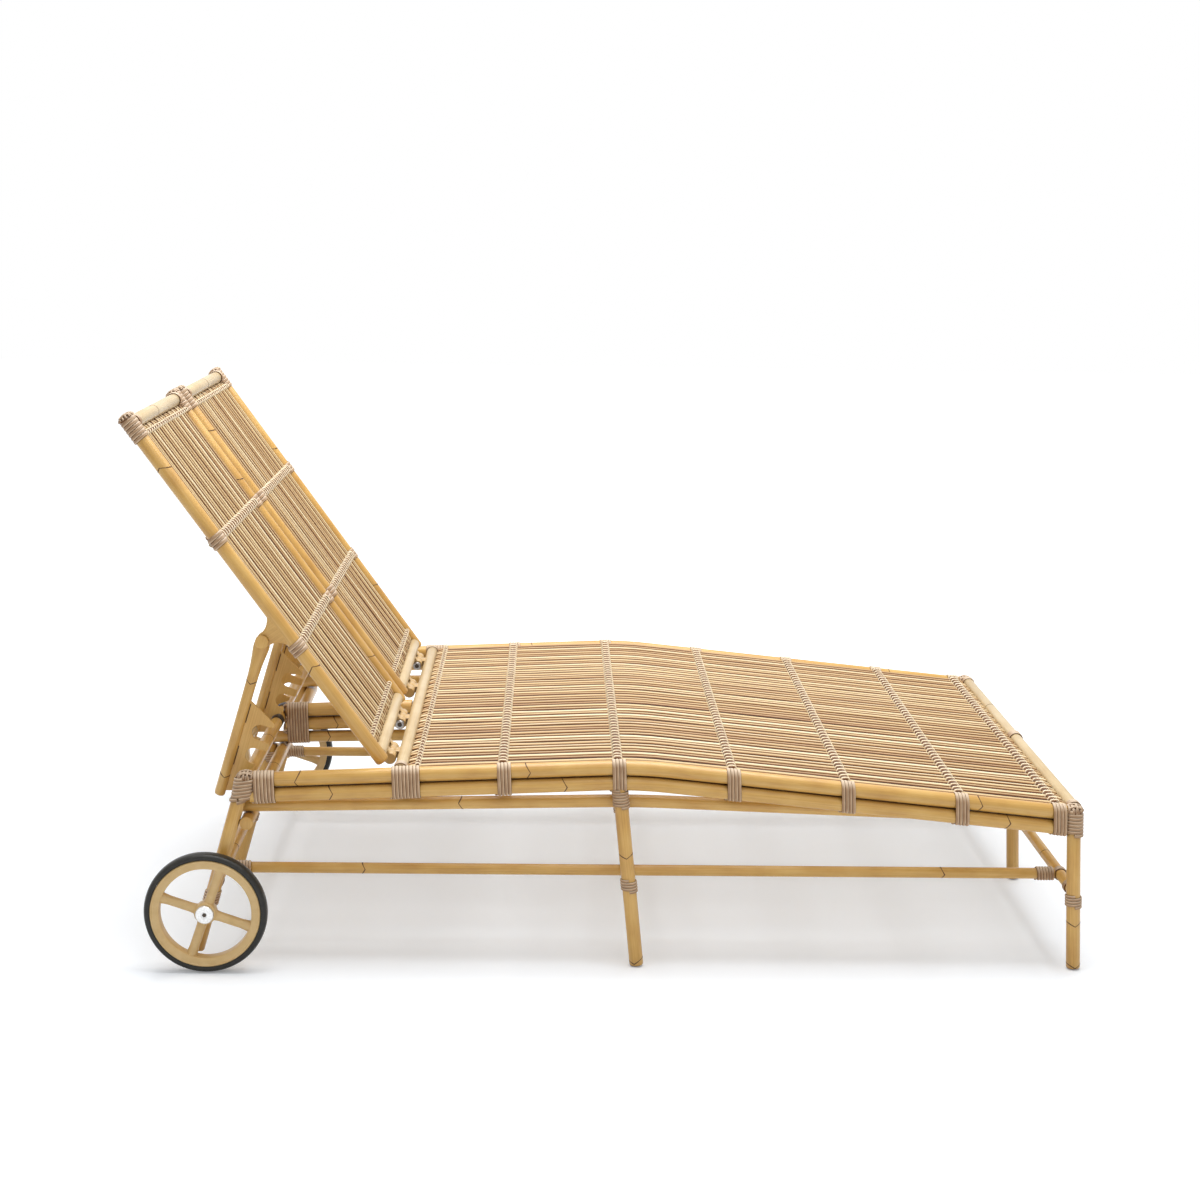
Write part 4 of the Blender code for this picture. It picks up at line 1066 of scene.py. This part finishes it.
# Props: under each backrest two flared struts with a toothed plate welded along each, joined by a
# cross tube. They turn on the lugs and hook over the prop bar.
axis = BACK @ PIVOT
plumb = Vector((bar_x - axis.x, bar_z - axis.z))
PROP_TILT = math.asin(0.041 / plumb.length) - math.atan2(plumb.x, -plumb.y)
PROP = BACK @ Matrix.Translation(PIVOT) @ Matrix.Rotation(PROP_TILT - RECLINE, 4, "Y")
PROP_GEAR = 1.35
NOTCHES = 3
NOTCH_R = 0.0158
NOTCH_PITCH = 0.046
NOTCH_LIP = 0.0165
NOTCH_START, NOTCH_END = 80, 280
TOOTH_REACH = 0.063
LAST_TOOTH_REACH = 0.047
PLATE_HALF = 0.0025
STRUT_OFFSET = 0.0168
STRUT_R = 0.0100
STRUT_DEPTH = 0.0115
STRUT_END = 0.308
STRUT_FLARE = ((0.0, 0.0119), (0.006, 0.0142), (0.013, 0.0152), (0.022, 0.0146), (0.034, 0.0130),
               (0.050, 0.0114), (0.070, 0.0104), (0.095, STRUT_R), (0.303, STRUT_R), (0.3065, 0.0087),
               (STRUT_END, 0.0060))
STRUT_LINES = ((0.083, 0.0102, 7.0), (0.268, STRUT_R, 9.0))
LUG_FACE = 0.0053
SPIGOT_CAP = [(0.0110, 0.0283), (0.0125, 0.0271), (0.0125, 0.0063), (0.0118, LUG_FACE), (0.0048, LUG_FACE),
              (0.0048, -LUG_FACE), (0.0119, -LUG_FACE), (0.0125, -0.0060), (0.0125, -0.0093), (0.0116, -0.0103)]
SEAM_SLOTS = (-0.142, -0.225)
SLOT_START, SLOT_END = 0.0020, 0.0029
PROP_TUBE_R = 0.009
PROP_TUBE_Z = 0.008 - STRUT_END + PROP_TUBE_R
PROP_TUBE_START = STRUT_OFFSET + STRUT_R + 0.0003
slot_dark = mottled("seam_slot", 0.8, (300.0,), ((0.3, srgb(52, 36, 16)), (0.7, srgb(84, 60, 28))), False)


def seen_from_prop(turn):
    """The prop bar in the prop's plane once its backrest is lowered by turn."""
    spot = Vector((HINGE.x, HINGE.z)) + Matrix.Rotation(turn - RECLINE, 2) @ Vector((PIVOT.x, PIVOT.z))
    return Matrix.Rotation(PROP_TILT + PROP_GEAR * turn, 2) @ (Vector((bar_x, bar_z)) - spot)


def notch_arc(centre, start, end):
    """Points round a notch between two angles in degrees."""
    angles = [math.radians(start + (end - start) * i / 20) for i in range(21)]
    return [(centre.x + NOTCH_R * math.cos(a), centre.y + NOTCH_R * math.sin(a)) for a in angles]


def tooth_outline():
    """Outline of the toothed plate, its lowest notch open the way the prop bar leaves it."""
    seat = seen_from_prop(0.0)
    way_out = (seen_from_prop(math.radians(3)) - seat).normalized()
    upper, lower = [seat + Vector((0.0, (NOTCHES - 1 - i) * NOTCH_PITCH)) for i in range(NOTCHES - 1)]
    top = upper.y + NOTCH_LIP
    outline = [(0.0, top + 0.042), (TOOTH_REACH, top + 0.006), (TOOTH_REACH, top)]
    outline += notch_arc(upper, NOTCH_START, NOTCH_END)
    outline += [(TOOTH_REACH, upper.y - NOTCH_LIP), (TOOTH_REACH, lower.y + NOTCH_LIP)]
    last_wall = math.degrees(math.acos((LAST_TOOTH_REACH - lower.x) / NOTCH_R))
    outline += notch_arc(lower, NOTCH_START, 360 - last_wall)
    over = seat + NOTCH_R * Vector((-way_out.y, way_out.x))
    tip = over + way_out * (LAST_TOOTH_REACH - over.x) / way_out.x
    outline.append((tip.x, tip.y))
    outline += notch_arc(seat, math.degrees(math.atan2(way_out.x, -way_out.y)), NOTCH_END)
    return outline + [(seat.x + 0.006, seat.y - 0.0205), (0.0, seat.y - 0.0345)]


def strut(bm, middle):
    """A round strut at a place along Y, widened along the plate where it flares."""
    path = [Vector((0.0, 0.0, -z)) for z, half in STRUT_FLARE]
    depths = [min(half, STRUT_DEPTH) for z, half in STRUT_FLARE]
    sweep(bm, path, depths, POLE_SIDES, chance(middle))
    flare = {round(-z, 5): half / depth for (z, half), depth in zip(STRUT_FLARE, depths)}
    for vert in bm.verts:
        vert.co.x *= flare[round(vert.co.z, 5)]
    bm.transform(Matrix.Translation((0.0, middle, 0.0)))


for name, side in SIDES.items():
    body = f"{name}_prop"
    for edge, way in (("outer", -side), ("inner", side)):
        rail_y = side * BACK_Y[edge]
        middle = rail_y + way * STRUT_OFFSET
        bm = bmesh.new()
        strut(bm, middle)
        bevelled_plate(bm, tooth_outline(), middle - PLATE_HALF, middle + PLATE_HALF, 0.0006)
        turn_about_y(bm, slid(SPIGOT_CAP, rail_y, way), 0.0, 0.0, 40)
        add_piece(f"{name}_prop_{edge}_flared_strut", bm, honey, body, PROP, f"{name}_prop_{edge}_strut",
                  "bamboo_tube")
        marks = bmesh.new()
        for z in SEAM_SLOTS:
            slot_outline = [(0.0097, z - 0.018), (0.0112, z - 0.019), (0.0112, z + 0.019), (0.0097, z + 0.018)]
            for face in (-1, 1):
                bevelled_plate(marks, slot_outline, middle + face * SLOT_START, middle + face * SLOT_END,
                               0.0001)
        add_piece(f"{name}_prop_{edge}_seam_slots", marks, slot_dark, body, PROP)
        rings = bmesh.new()
        for length, radius, seed in STRUT_LINES:
            meeting_line(rings, [Vector((0.0, middle, 0.0)), Vector((0.0, middle, -0.3))], length, radius,
                         seed + middle)
        add_piece(f"{name}_prop_{edge}_strut_joins", rings, line_brown, body, PROP)
    tube_ends = (BACK_Y["inner"] + PROP_TUBE_START, BACK_Y["outer"] - PROP_TUBE_START)
    ends = [Vector((0.0, side * y, PROP_TUBE_Z)) for y in tube_ends]
    pole(f"{name}_prop_cross_pole", f"{name}_prop_cross_tube", ends, PROP_TUBE_R, pale, (0.14, 0.31), body,
         PROP)

# Sleeves on the prop bar: short black rubber tubes, pushed over the bar where the toothed plates
# come to rest.
SLEEVE = [(0.0126, -0.016), (0.0130, -0.0156), (0.0132, -0.0150), (0.0132, 0.0150), (0.0130, 0.0156),
          (0.0126, 0.016)]
sleeves = bmesh.new()
for side in SIDES.values():
    for y in (BACK_Y["outer"] - STRUT_OFFSET, BACK_Y["inner"] + STRUT_OFFSET):
        turn_about_y(sleeves, slid(SLEEVE, side * y, 1), bar_x, bar_z, 40, closed=True)
add_piece("prop_bar_sleeves", sleeves, rubber, slot="black_rubber")

# Stage: a pale floor, a white surround and soft light from above, with the camera at the height and
# angle of the photograph.
FLOOR_HALF, FLOOR_Z = 14, -0.0012
FLOOR_FADE = (0.95, 2.7)
FLOOR_GLOW = (0.20, 0.75)
SURROUND_LIGHT = 0.42
floor_mesh = bpy.data.meshes.new("floor")
floor_corners = ((-FLOOR_HALF, -FLOOR_HALF), (FLOOR_HALF, -FLOOR_HALF), (FLOOR_HALF, FLOOR_HALF),
                 (-FLOOR_HALF, FLOOR_HALF))
floor_mesh.from_pydata([(*corner, FLOOR_Z) for corner in floor_corners], [], [(0, 1, 2, 3)])
floor = bpy.data.objects.new("floor", floor_mesh)
bpy.context.collection.objects.link(floor)
floor_skin, floor_add, floor_wire = new_material("pale_floor", 0.9, Base_Color=(0.808, 0.845, 0.890, 1.0),
                                                 Specular_IOR_Level=0.0, Emission_Color=WHITE)


def seen_directly(add):
    """1 for rays that reach the camera straight, mirrored or bent, and 0 for the rays that light the part."""
    path = add("ShaderNodeLightPath").outputs
    seen = maths(add, "MAXIMUM", path["Is Camera Ray"], path["Is Glossy Ray"])
    return maths(add, "MAXIMUM", seen, path["Is Transmission Ray"])


floor_place = floor_add("ShaderNodeNewGeometry").outputs["Position"]
floor_reach = floor_add("ShaderNodeVectorMath", {"operation": "LENGTH"}, i0=floor_place).outputs["Value"]
floor_lift = rescale(floor_add, floor_reach, *FLOOR_FADE, *FLOOR_GLOW, interpolation_type="SMOOTHSTEP")
floor_wire(Emission_Strength=maths(floor_add, "MULTIPLY", seen_directly(floor_add), floor_lift))
floor_mesh.materials.append(floor_skin)

world = bpy.data.worlds.new("surround")
bpy.context.scene.world = world
world.use_nodes = True
background = world.node_tree.nodes["Background"].inputs
background["Color"].default_value = WHITE
world_add = node_adder(world.node_tree)
feed(world.node_tree, background["Strength"],
     rescale(world_add, seen_directly(world_add), 0.0, 1.0, SURROUND_LIGHT, 1.0))


def soft_light(name, place, target, size, power):
    """A large square light aimed at a point."""
    data = bpy.data.lights.new(name, "AREA")
    data.size = size
    data.energy = power
    light = bpy.data.objects.new(name, data)
    bpy.context.collection.objects.link(light)
    light.location = place
    light.rotation_euler = (Vector(target) - Vector(place)).to_track_quat("-Z", "Y").to_euler()


soft_light("overhead", (0.0, 0.38, 4.4), (0.0, 0.0, 0.3), 3.7, 240.0)
soft_light("front", (0.4, -3.6, 3.4), (0.0, 0.0, 0.4), 2.6, 22.0)

CAMERA_PLACE = (-0.113668, -4.43501, 1.41324)
pitch, yaw, roll = 0.183021, 0.023053, 0.014882
forward = Vector((math.sin(yaw) * math.cos(pitch), math.cos(yaw) * math.cos(pitch), -math.sin(pitch)))
level = Vector((math.cos(yaw), -math.sin(yaw), 0.0))
raised = level.cross(forward)
right = math.cos(roll) * level + math.sin(roll) * raised
upright = math.cos(roll) * raised - math.sin(roll) * level
camera_data = bpy.data.cameras.new("camera")
camera_data.sensor_width = 36.0
camera_data.lens = 65.38
camera = bpy.data.objects.new("camera", camera_data)
bpy.context.collection.objects.link(camera)
turned = Matrix((right, upright, -forward)).transposed().to_4x4()
camera.matrix_world = Matrix.Translation(CAMERA_PLACE) @ turned
bpy.context.scene.camera = camera
bpy.context.scene.view_settings.view_transform = "Standard"
